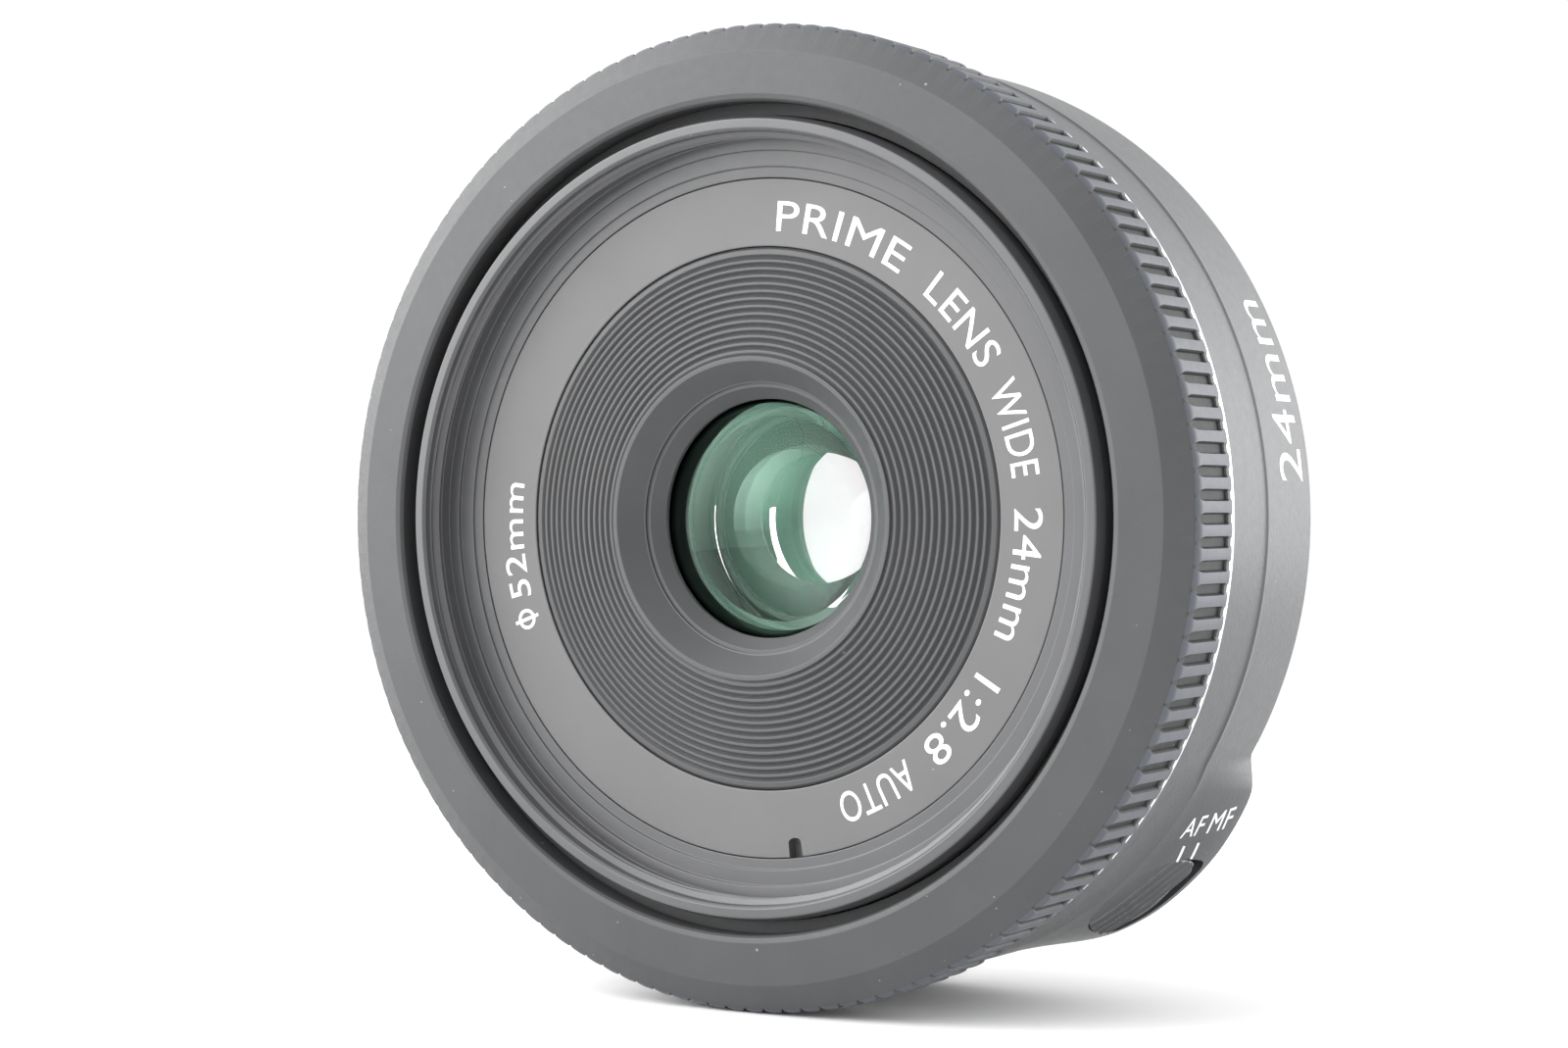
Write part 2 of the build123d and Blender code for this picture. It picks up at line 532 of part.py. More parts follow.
# ================================================================== REAR BARREL WITH SWITCH BULGE
barrel = rev([(barrel_r - barrel_wall, 1.76), (31.06, 1.76), (31.06, barrel_z0), (barrel_r - 0.25, barrel_z0), (barrel_r, barrel_z0 + 0.25),
              (barrel_r, ridge_z), (barrel_front_r, barrel_z1 - 0.15), (barrel_front_r - 0.15, barrel_z1), (barrel_r - barrel_wall, barrel_z1)])
h_tab = ((barrel_z0, 1.50), (2.0, 1.40), (4.0, 1.09), (6.2, 0.70), (8.0, 0.38), (10.0, 0.14), (12.2, 0.02))
w_tab = ((-72.5, -0.04), (-71.0, 0.02), (-69.2, 0.14), (-67.0, 0.34), (-64.5, 0.61), (-61.5, 0.85), (-58.0, 0.98), (-54.0, 1.0), (-49.0, 1.0), (-44.0, 1.0),
         (-40.0, 0.97), (-36.5, 0.91), (-33.5, 0.76), (-31.5, 0.47), (-29.8, 0.10), (-28.6, -0.04))


def barrel_at(z):
    return barrel_r if z <= ridge_z else barrel_r + (barrel_front_r - barrel_r) * (z - ridge_z) / (barrel_z1 - 0.15 - ridge_z)


secs = []
for z, h in h_tab:
    pts = []
    for a, w in w_tab:
        r = barrel_at(z) - 0.01 + h * w
        x, y = polar(r, a)
        pts.append((x, y, z))
    i0, i1 = polar(31.9, w_tab[0][0]), polar(31.9, w_tab[-1][0])
    im_ = polar(31.9, (w_tab[0][0] + w_tab[-1][0]) / 2)
    edges = [Spline(*pts), Line(pts[-1], (i1[0], i1[1], z)), ThreePointArc((i1[0], i1[1], z), (im_[0], im_[1], z), (i0[0], i0[1], z)),
             Line((i0[0], i0[1], z), pts[0])]
    secs.append(make_face(Wire(edges)))
bulge = loft(secs)
barrel += bulge


def stadium(L, w, r0, r1, z, corner=1.50):
    pl = Plane(origin=(r0 * math.cos(math.radians(slot_mid)), r0 * math.sin(math.radians(slot_mid)), z),
               x_dir=(-math.sin(math.radians(slot_mid)), math.cos(math.radians(slot_mid)), 0),
               z_dir=(math.cos(math.radians(slot_mid)), math.sin(math.radians(slot_mid)), 0))
    return extrude(pl * RectangleRounded(L, w, corner), r1 - r0)


barrel -= stadium(slot_len, slot_w, 30.5, 36.0, slot_z)
barrel -= ring(31.0, 32.50, 1.78, 6.85, slot_mid - 10.8, slot_mid + 10.8)
save("rear_barrel", barrel)

knob_w = slot_w - switch_travel - 0.16
knob_z = slot_z + slot_w / 2 - 0.08 - knob_w / 2
kz0, kz1 = knob_z - knob_w / 2, knob_z + knob_w / 2
kp = [(32.36, kz0), (33.86, kz0), (33.92, kz0 + 0.15)]
n_k = 6
for i in range(n_k):
    z0_ = kz0 + 0.15 + i * 0.30
    rt = 33.94 - 0.115 * (z0_ - kz0)
    kp += [(rt, z0_ + 0.06), (rt - 0.02, z0_ + 0.20), (rt - 0.20, z0_ + 0.25), (rt - 0.20, z0_ + 0.30)]
kp += [(33.42, kz1 - 0.55), (33.18, kz1 - 0.12), (33.10, kz1), (32.36, kz1)]
knob = rev(kp, slot_mid - 12, slot_mid + 12) & stadium(slot_len - 0.20, knob_w, 30.5, 36.0, knob_z, 1.42)
save("switch_knob", knob)
slider = ring(31.80, 32.36, knob_z - 1.62, knob_z + 1.95, slot_mid - 9.6, slot_mid + 9.6)
slider += ring(31.54, 31.85, knob_z - 0.5, knob_z + 0.5, slot_mid - 5.0, slot_mid - 2.0)
slider += ring(31.54, 31.85, knob_z - 0.5, knob_z + 0.5, slot_mid + 2.0, slot_mid + 5.0)
save("switch_slider", slider)
save("switch_board", ring(30.95, 31.50, 1.9, 7.6, slot_mid - 11.5, slot_mid + 11.5))

# ================================================================== MOUNT
mount = rev([(mount_ri, bayonet_z), (bayonet_ro, bayonet_z), (bayonet_ro, 0.35), (27.30, 0.35), (27.30, 0.0), (mount_ro, 0.0), (mount_ro, 1.80),
             (mount_ri, 1.80)])
for a in (40, 160, 280):
    mount += ring(bayonet_ro - 0.2, lug_r, lug_z0, lug_z1, a - 26, a + 26)
for a in screw_angles:
    x, y = polar(screw_pcd_r, a)
    mount -= disc(x, y, 0.72, -1.0, 2.5)
    mount -= disc(x, y, 1.20, -1.0, 0.95)
mount -= Rot(0, 0, 130) * (Pos(29.1, 0, 0.0) * extrude(SlotOverall(3.4, 1.9), 1.2))
save("mount_ring", mount)
save("mount_screws", [screw_head(screw_pcd_r, a, 0.93, 1.15, 0.75, 0.62, 2.3, up=-1) for a in screw_angles])
rb = rev([(15.05, -1.20), (24.10, -1.20), (24.10, -1.90), (21.30, -1.90), (21.30, -7.10), (20.05, -7.10), (16.2, -4.60), (15.05, -4.60)])
rb -= block(21.5, 23.4, contact_mid, 9.0, -3.0, 0.0)
save("rear_baffle", rb)
save("rear_rubber_ring", rev([(20.10, -7.12), (21.55, -7.12), (21.62, -7.5), (21.40, -8.1), (21.1, -8.25), (20.6, -8.25), (20.25, -8.0)]))
cb = ring(21.34, 24.14, -6.55, -2.02, contact_mid - 33, contact_mid + 33)
pins = []
for k in range(contact_count):
    a = contact_mid + (k - (contact_count - 1) / 2) * 7.6
    pins.append(post(22.75, a, 0.62, -6.78, -5.2))
    cb -= post(22.75, a, 0.64, -7.0, -5.2)
for a in (contact_mid - 29.3, contact_mid + 29.3):
    cb -= post(22.75, a, 0.80, -7.0, -6.05)
save("contact_block", cb)
save("contact_pins", pins)
save("contact_block_screws", [screw_head(22.75, a, -6.06, 0.76, 0.42, 0.3, 0.0, up=-1) for a in (contact_mid - 29.3, contact_mid + 29.3)])

for n, k, v in done:
    print(f"{n:24s} solids {k:3d}  volume {v:10.3f} mm3")
print("nodes:", len(set(n for n, _, _ in done)), " motor direction", round(motor_dir, 3), "to motor", round(to_motor, 3))
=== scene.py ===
import bpy, bmesh, json, math
from mathutils import Vector, Matrix


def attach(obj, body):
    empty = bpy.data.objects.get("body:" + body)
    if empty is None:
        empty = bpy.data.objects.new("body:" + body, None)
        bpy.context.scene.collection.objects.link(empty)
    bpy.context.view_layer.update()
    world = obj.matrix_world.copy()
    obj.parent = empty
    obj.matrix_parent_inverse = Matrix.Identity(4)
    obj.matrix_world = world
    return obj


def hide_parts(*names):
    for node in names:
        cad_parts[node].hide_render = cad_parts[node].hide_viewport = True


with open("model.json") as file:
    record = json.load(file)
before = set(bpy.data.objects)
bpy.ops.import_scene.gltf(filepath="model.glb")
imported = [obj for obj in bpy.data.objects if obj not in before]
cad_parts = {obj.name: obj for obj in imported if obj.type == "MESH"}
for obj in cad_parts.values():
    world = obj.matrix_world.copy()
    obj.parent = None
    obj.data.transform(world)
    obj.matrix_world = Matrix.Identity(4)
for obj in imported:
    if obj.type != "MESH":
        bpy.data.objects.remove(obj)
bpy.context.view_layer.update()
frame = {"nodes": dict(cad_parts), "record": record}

SCN = bpy.context.scene
COL = SCN.collection
MM = 0.001


# ------------------------------------------------------------------ geometry helpers
def P(r, a, z):
    """Lens co-ordinates (radius mm, angle degrees, height in front of the flange mm) to row co-ordinates in metres."""
    t = math.radians(a)
    return (r * math.cos(t) * MM, -z * MM, r * math.sin(t) * MM)


def lerp(a, b, t):
    return a + (b - a) * t


def smooth(t):
    t = min(1.0, max(0.0, t))
    return t * t * (3 - 2 * t)


def table(tab, x):
    """Smooth (Catmull-Rom) look-up in a table of pairs."""
    if x <= tab[0][0]:
        return tab[0][1]
    if x >= tab[-1][0]:
        return tab[-1][1]
    for i in range(len(tab) - 1):
        if x <= tab[i + 1][0]:
            break
    x0, y0 = tab[i]
    x1, y1 = tab[i + 1]
    xm, ym = tab[i - 1] if i > 0 else (2 * x0 - x1, 2 * y0 - y1)
    xp, yp = tab[i + 2] if i + 2 < len(tab) else (2 * x1 - x0, 2 * y1 - y0)
    m0 = (y1 - ym) / (x1 - xm)
    m1 = (yp - y0) / (xp - x0)
    h = x1 - x0
    t = (x - x0) / h
    return ((2 * t ** 3 - 3 * t ** 2 + 1) * y0 + (t ** 3 - 2 * t ** 2 + t) * h * m0
            + (-2 * t ** 3 + 3 * t ** 2) * y1 + (t ** 3 - t ** 2) * h * m1)


def finish_mesh(name, me, mat, body, replaces=(), angle=30.0, recalc=True):
    if recalc:
        bm = bmesh.new()
        bm.from_mesh(me)
        bmesh.ops.recalc_face_normals(bm, faces=bm.faces)
        bm.to_mesh(me)
        bm.free()
    me.polygons.foreach_set("use_smooth", [True] * len(me.polygons))
    if angle:
        me.set_sharp_from_angle(angle=math.radians(angle))
    me.materials.clear()
    me.materials.append(mat)
    ob = bpy.data.objects.new(name, me)
    COL.objects.link(ob)
    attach(ob, body)
    if replaces:
        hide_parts(*replaces)
    return ob


def mesh_of(name, verts, faces):
    me = bpy.data.meshes.new(name)
    me.from_pydata(verts, [], faces)
    me.validate()
    return me


def rounded(prof, hold=0.05, steps=3):
    """A closed outline of (r, z) or (r, z, corner radius). Corners become small arcs, with a holding point beside each, so that flats shade flat."""
    n = len(prof)
    out = []
    for i in range(n):
        p = prof[i]
        r, z = p[0], p[1]
        c = p[2] if len(p) > 2 else 0.0
        a = prof[i - 1]
        b = prof[(i + 1) % n]
        ua = Vector((a[0] - r, a[1] - z))
        ub = Vector((b[0] - r, b[1] - z))
        la, lb = ua.length, ub.length
        if c <= 0 or la < 1e-6 or lb < 1e-6:
            out.append((r, z))
            continue
        ua.normalize()
        ub.normalize()
        cosang = max(-1, min(1, ua.dot(ub)))
        ang = math.acos(cosang)
        if ang > math.radians(176) or ang < math.radians(4):
            out.append((r, z))
            continue
        d = c / math.tan(ang / 2)
        d = min(d, 0.45 * la, 0.45 * lb)
        rad = d * math.tan(ang / 2)
        p0 = Vector((r, z)) + ua * d
        p1 = Vector((r, z)) + ub * d
        centre = Vector((r, z)) + (ua + ub).normalized() * (rad / math.sin(ang / 2))
        if la - 2 * d > 4 * hold:
            out.append(tuple(p0 + ua * hold))
        v0, v1 = p0 - centre, p1 - centre
        tot = math.acos(max(-1, min(1, v0.normalized().dot(v1.normalized()))))
        sgn = 1 if v0.x * v1.y - v0.y * v1.x > 0 else -1
        for k in range(steps + 1):
            t = sgn * tot * k / steps
            out.append((centre.x + v0.x * math.cos(t) - v0.y * math.sin(t), centre.y + v0.x * math.sin(t) + v0.y * math.cos(t)))
        if lb - 2 * d > 4 * hold:
            out.append(tuple(p1 + ub * hold))
    return out


def corner(prof, c):
    """Give every corner of an outline the same radius unless it states its own."""
    return [p if len(p) > 2 else (p[0], p[1], c) for p in prof]


def grid_ring(rows_fn, nrows, cols, closed_rows=True):
    """Vertices and faces of a ring: rows_fn(i, a) gives (r, z) of row i at angle a, cols is the list of angles."""
    nc = len(cols)
    verts = []
    for a in cols:
        for i in range(nrows):
            r, z = rows_fn(i, a)
            verts.append(P(r, a, z))
    faces = []
    last = nrows if closed_rows else nrows - 1
    for j in range(nc):
        k = (j + 1) % nc
        for i in range(last):
            m = (i + 1) % nrows
            faces.append((j * nrows + i, j * nrows + m, k * nrows + m, k * nrows + i))
    return verts, faces


def revolve(name, prof, segs, mat, body, replaces=(), angle=30.0, c=0.0, hold=0.05, steps=3):
    pts = rounded(corner(prof, c) if c else prof, hold, steps)
    cols = [360.0 * j / segs for j in range(segs)]
    verts, faces = grid_ring(lambda i, a: pts[i], len(pts), cols)
    return finish_mesh(name, mesh_of(name, verts, faces), mat, body, replaces, angle)


def solid_of_revolution(name, prof, segs, mat, body, replaces=(), angle=30.0):
    """An outline whose first and last points are on the axis."""
    n = len(prof)
    verts = [P(0, 0, prof[0][1])]
    for j in range(segs):
        a = 360.0 * j / segs
        for p in prof[1:-1]:
            verts.append(P(p[0], a, p[1]))
    verts.append(P(0, 0, prof[-1][1]))
    m = n - 2
    faces = []
    end = len(verts) - 1
    for j in range(segs):
        k = (j + 1) % segs
        faces.append((0, 1 + j * m, 1 + k * m))
        for i in range(m - 1):
            faces.append((1 + j * m + i, 1 + j * m + i + 1, 1 + k * m + i + 1, 1 + k * m + i))
        faces.append((end, 1 + k * m + m - 1, 1 + j * m + m - 1))
    return finish_mesh(name, mesh_of(name, verts, faces), mat, body, replaces, angle)


# ------------------------------------------------------------------ materials
def new_mat(name):
    m = bpy.data.materials.new(name)
    m.use_nodes = True
    nt = m.node_tree
    b = next(n for n in nt.nodes if n.type == "BSDF_PRINCIPLED")
    return m, nt, b


def coords(nt, scale=1.0):
    """Object co-ordinates in millimetres."""
    tc = nt.nodes.new("ShaderNodeTexCoord")
    mp = nt.nodes.new("ShaderNodeMapping")
    mp.inputs["Scale"].default_value = (1000 * scale,) * 3
    nt.links.new(tc.outputs["Object"], mp.inputs["Vector"])
    return mp.outputs["Vector"]


def noise(nt, vec, scale, detail=3.0, rough=0.6):
    n = nt.nodes.new("ShaderNodeTexNoise")
    n.inputs["Scale"].default_value = scale
    n.inputs["Detail"].default_value = detail
    n.inputs["Roughness"].default_value = rough
    nt.links.new(vec, n.inputs["Vector"])
    return n.outputs["Fac"]


def ramp(nt, fac, stops, interp="LINEAR"):
    r = nt.nodes.new("ShaderNodeValToRGB")
    r.color_ramp.interpolation = interp
    el = r.color_ramp.elements
    while len(el) < len(stops):
        el.new(0.5)
    for e, (p, c) in zip(el, stops):
        e.position = p
        e.color = (*c, 1) if len(c) == 3 else c
    nt.links.new(fac, r.inputs["Fac"])
    return r.outputs["Color"]


def mrange(nt, fac, a, b, c, d):
    m = nt.nodes.new("ShaderNodeMapRange")
    m.inputs["From Min"].default_value = a
    m.inputs["From Max"].default_value = b
    m.inputs["To Min"].default_value = c
    m.inputs["To Max"].default_value = d
    nt.links.new(fac, m.inputs["Value"])
    return m.outputs["Result"]


def bump(nt, b, height, strength, dist):
    bp = nt.nodes.new("ShaderNodeBump")
    bp.inputs["Strength"].default_value = strength
    bp.inputs["Distance"].default_value = dist
    nt.links.new(height, bp.inputs["Height"])
    nt.links.new(bp.outputs["Normal"], b.inputs["Normal"])
    return bp


def mixc(nt, fac, a, b):
    m = nt.nodes.new("ShaderNodeMix")
    m.data_type = "RGBA"
    for s, v in ((m.inputs["A"] if False else m.inputs[6], a), (m.inputs[7], b)):
        if isinstance(v, tuple):
            s.default_value = (*v, 1) if len(v) == 3 else v
        else:
            nt.links.new(v, s)
    if isinstance(fac, float):
        m.inputs[0].default_value = fac
    else:
        nt.links.new(fac, m.inputs[0])
    return m.outputs[2]


def specks(nt, vec, scale, size, keep):
    """1 on a sparse scatter of tiny round specks, else 0."""
    v = nt.nodes.new("ShaderNodeTexVoronoi")
    v.inputs["Scale"].default_value = scale
    v.inputs["Randomness"].default_value = 1.0
    nt.links.new(vec, v.inputs["Vector"])
    near = mrange(nt, v.outputs["Distance"], size * 0.6, size, 1.0, 0.0)
    sep = nt.nodes.new("ShaderNodeSeparateColor")
    nt.links.new(v.outputs["Color"], sep.inputs["Color"])
    pick = mrange(nt, sep.outputs[0], 1.0 - keep, 1.0 - keep + 0.001, 0.0, 1.0)
    mul = nt.nodes.new("ShaderNodeMath")
    mul.operation = "MULTIPLY"
    nt.links.new(near, mul.inputs[0])
    nt.links.new(pick, mul.inputs[1])
    return mul.outputs[0]


def plastic(name, col, rough=0.5, grain=9.0, depth=0.012, strength=0.35, vary=0.12, dust=0.0, spec=0.5, coat=0.0, dust_scale=0.55, sheen=0.0):
    """Moulded plastic: fine spark-eroded grain, slow shade variation, worn-in roughness patches and a few dust specks."""
    m, nt, b = new_mat(name)
    v = coords(nt)
    slow = noise(nt, v, 0.16, 4, 0.55)
    fine = noise(nt, v, grain, 2, 0.5)
    lo = tuple(c * (1 - vary) for c in col)
    hi = tuple(min(1, c * (1 + vary)) for c in col)
    base = ramp(nt, slow, [(0.32, lo), (0.68, hi)])
    base = mixc(nt, mrange(nt, fine, 0.3, 0.7, 0.0, 0.35), base, tuple(min(1, c * (1 + 2.2 * vary)) for c in col))
    if dust > 0:
        s1 = specks(nt, v, dust_scale, 0.07, dust)
        s2 = specks(nt, v, dust_scale * 2.7, 0.11, dust * 0.8)
        ad = nt.nodes.new("ShaderNodeMath")
        ad.operation = "MAXIMUM"
        nt.links.new(s1, ad.inputs[0])
        nt.links.new(s2, ad.inputs[1])
        base = mixc(nt, mrange(nt, ad.outputs[0], 0, 1, 0, 0.55), base, (0.30, 0.30, 0.30))
    nt.links.new(base, b.inputs["Base Color"])
    nt.links.new(mrange(nt, noise(nt, v, 1.6, 3, 0.6), 0.3, 0.7, rough - 0.03, rough + 0.03), b.inputs["Roughness"])
    b.inputs["Specular IOR Level"].default_value = spec
    if coat:
        b.inputs["Coat Weight"].default_value = coat
        b.inputs["Coat Roughness"].default_value = 0.25
    if sheen:
        b.inputs["Sheen Weight"].default_value = sheen
    bump(nt, b, fine, strength, depth * MM)
    return m


def metal(name, col, rough=0.3, turned=0.0, vary=0.08, grain=6.0, strength=0.15, aniso=0.0):
    """Metal with faint turned lines about the lens axis, or else a fine grain."""
    m, nt, b = new_mat(name)
    v = coords(nt)
    slow = noise(nt, v, 0.25, 3, 0.5)
    base = ramp(nt, slow, [(0.3, tuple(c * (1 - vary) for c in col)), (0.7, tuple(min(1, c * (1 + vary)) for c in col))])
    nt.links.new(base, b.inputs["Base Color"])
    b.inputs["Metallic"].default_value = 1.0
    if turned:
        # distance from the lens axis drives the turning marks
        sep = nt.nodes.new("ShaderNodeSeparateXYZ")
        nt.links.new(v, sep.inputs[0])
        cb = nt.nodes.new("ShaderNodeCombineXYZ")
        nt.links.new(sep.outputs[0], cb.inputs[0])
        nt.links.new(sep.outputs[2], cb.inputs[1])
        ln = nt.nodes.new("ShaderNodeVectorMath")
        ln.operation = "LENGTH"
        nt.links.new(cb.outputs[0], ln.inputs[0])
        cb2 = nt.nodes.new("ShaderNodeCombineXYZ")
        nt.links.new(ln.outputs["Value"], cb2.inputs[0])
        nt.links.new(sep.outputs[1], cb2.inputs[1])
        lines = noise(nt, cb2.outputs[0], turned, 2, 0.7)
        nt.links.new(mrange(nt, lines, 0.3, 0.7, max(0.05, rough - 0.08), rough + 0.10), b.inputs["Roughness"])
        bump(nt, b, lines, strength, 0.006 * MM)
    else:
        fine = noise(nt, v, grain, 3, 0.6)
        nt.links.new(mrange(nt, fine, 0.3, 0.7, max(0.05, rough - 0.07), rough + 0.08), b.inputs["Roughness"])
        bump(nt, b, fine, strength, 0.006 * MM)
    return m


def board(name):
    """Green solder resist with copper traces under it."""
    m, nt, b = new_mat(name)
    v = coords(nt)
    br = nt.nodes.new("ShaderNodeTexBrick")
    br.inputs["Scale"].default_value = 0.6
    br.inputs["Color1"].default_value = (0.020, 0.16, 0.07, 1)
    br.inputs["Color2"].default_value = (0.025, 0.20, 0.08, 1)
    br.inputs["Mortar"].default_value = (0.05, 0.30, 0.13, 1)
    br.inputs["Mortar Size"].default_value = 0.06
    nt.links.new(v, br.inputs["Vector"])
    nt.links.new(br.outputs["Color"], b.inputs["Base Color"])
    nt.links.new(mrange(nt, noise(nt, v, 2.0), 0.3, 0.7, 0.25, 0.40), b.inputs["Roughness"])
    bump(nt, b, br.outputs["Fac"], 0.3, 0.02 * MM)
    return m


def film(name, col):
    m, nt, b = new_mat(name)
    v = coords(nt)
    w = nt.nodes.new("ShaderNodeTexWave")
    w.inputs["Scale"].default_value = 0.7
    w.inputs["Distortion"].default_value = 0.4
    nt.links.new(v, w.inputs["Vector"])
    base = ramp(nt, w.outputs["Fac"], [(0.42, tuple(c * 0.72 for c in col)), (0.58, col)])
    nt.links.new(base, b.inputs["Base Color"])
    nt.links.new(mrange(nt, noise(nt, v, 3.0), 0.3, 0.7, 0.18, 0.3), b.inputs["Roughness"])
    bump(nt, b, w.outputs["Fac"], 0.3, 0.02 * MM)
    return m


def glass(name, tint, rough=0.0, ior=1.5, spec_tint=(1, 1, 1)):
    """Polished, coated glass. The coating colours what the surface reflects; faint dust haze breaks the polish."""
    m, nt, b = new_mat(name)
    v = coords(nt)
    haze = noise(nt, v, 0.9, 4, 0.6)
    base = ramp(nt, haze, [(0.35, tint), (0.7, tuple(min(1, c * 1.01) for c in tint))])
    nt.links.new(base, b.inputs["Base Color"])
    b.inputs["Transmission Weight"].default_value = 1.0
    b.inputs["IOR"].default_value = ior
    b.inputs["Specular Tint"].default_value = (*spec_tint, 1)
    nt.links.new(mrange(nt, haze, 0.35, 0.75, rough, rough + 0.004), b.inputs["Roughness"])
    return m


def paint(name, col, rough=0.45):
    """Printed ink: nearly even, very slightly mottled and raised."""
    m, nt, b = new_mat(name)
    v = coords(nt)
    n = noise(nt, v, 7.0, 2, 0.5)
    nt.links.new(ramp(nt, n, [(0.3, tuple(c * 0.93 for c in col)), (0.7, col)]), b.inputs["Base Color"])
    nt.links.new(mrange(nt, n, 0.3, 0.7, rough - 0.05, rough + 0.05), b.inputs["Roughness"])
    bump(nt, b, n, 0.15, 0.004 * MM)
    return m


M = {}
M["barrel_plastic"] = plastic("barrel_grain_plastic", (0.036, 0.039, 0.042), rough=0.36, grain=4.0, depth=0.030, strength=0.55, vary=0.03, dust=0.03, spec=0.6)
M["ring_plastic"] = plastic("ring_grain_plastic", (0.042, 0.043, 0.045), rough=0.52, grain=7.0, depth=0.018, strength=0.45, vary=0.08, dust=0.09, spec=0.5)
M["silver_trim"] = metal("bright_satin_trim", (0.86, 0.86, 0.85), rough=0.28, turned=6.0)
M["inner_barrel_plastic"] = plastic("inner_barrel_satin", (0.062, 0.063, 0.066), rough=0.36, grain=9.0, depth=0.006, strength=0.25, vary=0.08, dust=0.03, spec=0.6)
M["name_plate"] = plastic("name_plate_satin", (0.088, 0.088, 0.088), rough=0.40, grain=14.0, depth=0.006, strength=0.3, vary=0.06, dust=0.02, spec=0.6)
M["baffle_plastic"] = plastic("baffle_matt", (0.050, 0.051, 0.053), rough=0.46, grain=9.0, depth=0.005, strength=0.2, vary=0.06, dust=0.02, spec=0.5)
# flat black for the dark inner parts; on the rear barrel's front step it is painted shade
M["matt_black"] = plastic("flat_black_paint_and_painted_shade", (0.012, 0.012, 0.0125), rough=0.75, grain=12.0, depth=0.01, strength=0.4, spec=0.3)
M["inner_plastic"] = plastic("glass_filled_black", (0.030, 0.031, 0.032), rough=0.60, grain=14.0, depth=0.003, strength=0.2)
M["knob_plastic"] = plastic("knob_satin", (0.060, 0.062, 0.066), rough=0.20, grain=7.0, depth=0.004, strength=0.25, vary=0.05, spec=0.8)
M["mount_metal"] = metal("chromed_mount", (0.56, 0.555, 0.545), rough=0.26, turned=9.0, vary=0.02, strength=0.06)
M["screw_steel"] = metal("screw_zinc", (0.48, 0.48, 0.49), rough=0.3, grain=8.0)
M["spring_steel"] = metal("spring_steel_satin", (0.60, 0.60, 0.60), rough=0.32, grain=5.0)
M["motor_steel"] = metal("motor_case", (0.62, 0.62, 0.60), rough=0.30, grain=5.0)
M["cam_metal"] = metal("anodised_cam", (0.10, 0.10, 0.105), rough=0.38, turned=5.0)
M["brass_gear"] = metal("turned_brass", (0.78, 0.58, 0.27), rough=0.26, grain=5.0)
M["gear_plastic"] = plastic("acetal_natural", (0.72, 0.70, 0.64), rough=0.38, grain=4.0, depth=0.01, strength=0.2, vary=0.04)
M["contact_plastic"] = plastic("contact_block_black", (0.02, 0.02, 0.02), rough=0.28, grain=6.0, depth=0.006, strength=0.2, spec=0.6)
M["gold_contact"] = metal("gold_plate", (0.90, 0.66, 0.26), rough=0.16, grain=9.0)
M["rubber_seal"] = plastic("soft_rubber", (0.016, 0.016, 0.017), rough=0.68, grain=8.0, depth=0.02, strength=0.5, sheen=0.15, spec=0.35)
M["circuit_board"] = board("green_board")
M["chip_plastic"] = plastic("chip_epoxy", (0.02, 0.02, 0.022), rough=0.5, grain=10.0, depth=0.01, strength=0.3)
M["flex_film"] = film("amber_film", (0.62, 0.28, 0.05))
M["blade_metal"] = metal("blackened_blade", (0.045, 0.045, 0.045), rough=0.45, grain=10.0)
M["optical_glass"] = glass("optical_glass", (0.985, 0.995, 0.990), ior=1.33, spec_tint=(0.50, 1.0, 0.74))
M["coated_glass"] = glass("coated_glass", (0.985, 0.995, 0.990), ior=1.40, spec_tint=(0.50, 1.0, 0.74))
# grip bar tops: a bluish, lighter colour that is painted sheen, standing for the light the raised bars reflect, with
# real dust specks
BAR_PAINTED_SHEEN = plastic("grip_bar_painted_sheen", (0.050, 0.056, 0.070), rough=0.46, grain=7.0, depth=0.014, strength=0.4, vary=0.06, dust=0.03, spec=0.55)
# groove floors: a darker colour that is painted shade in the grooves, with real dust specks
GROOVE_PAINTED_SHADE = plastic("grip_groove_painted_shade", (0.022, 0.023, 0.024), rough=0.60, grain=7.0, depth=0.014, strength=0.4, vary=0.08, dust=0.10, spec=0.35)
CELL = plastic("lens_cell_satin", (0.075, 0.080, 0.078), rough=0.45, grain=14.0, depth=0.003, strength=0.2, vary=0.04)
INK = paint("white_ink", (0.80, 0.80, 0.80))

# every carried-over CAD node gets the material of its slot, except the front lens cell (satin grey) and the switch
# board (flat black)
slot_of = {s["node"]: s["material_slot"] for s in frame["record"]["subparts"]}
for node, ob in frame["nodes"].items():
    ob.data.materials.clear()
    ob.data.materials.append(CELL if node == "front_lens_cell" else M["matt_black"] if node == "switch_board" else M[slot_of[node]])

# ------------------------------------------------------------------ focus ring with its grips
RIBS = 140
PITCH = 360.0 / RIBS
RIB_PHASE = 1.2
U0 = (-0.5, -0.41, -0.335, -0.312, -0.275, -0.238, -0.215, -0.12, 0.0, 0.12, 0.215, 0.238, 0.275, 0.312, 0.335, 0.41)


def envelope(z):
    if z >= 21.42:
        return 33.0
    if z >= 20.80:
        t = (21.42 - z) / 0.62
        return 33.0 + 0.35 * math.sin(math.pi / 2 * t) ** 0.8
    if z >= 16.30:
        return 33.35 - 0.05 * smooth((20.8 - z) / 4.5)
    return 33.30


def pocket_half(z):
    """Half width of a groove in rib pitches."""
    w = 0.225
    if z > 20.25:
        t = (z - 20.25) / 0.95
        w *= max(0.06, math.sqrt(max(0.0, 1 - t * t)))
    if z < 16.8:
        t = (16.8 - z) / 0.24
        w *= max(0.80, 1 - 0.20 * t * t)
    return w


def groove_depth(z):
    d = 0.34
    if z > 20.2:
        d *= 1 - 0.45 * smooth((z - 20.2) / 1.0)
    if z < 16.66:
        d = lerp(d, 0.11, smooth((16.66 - z) / 0.13))
    return d


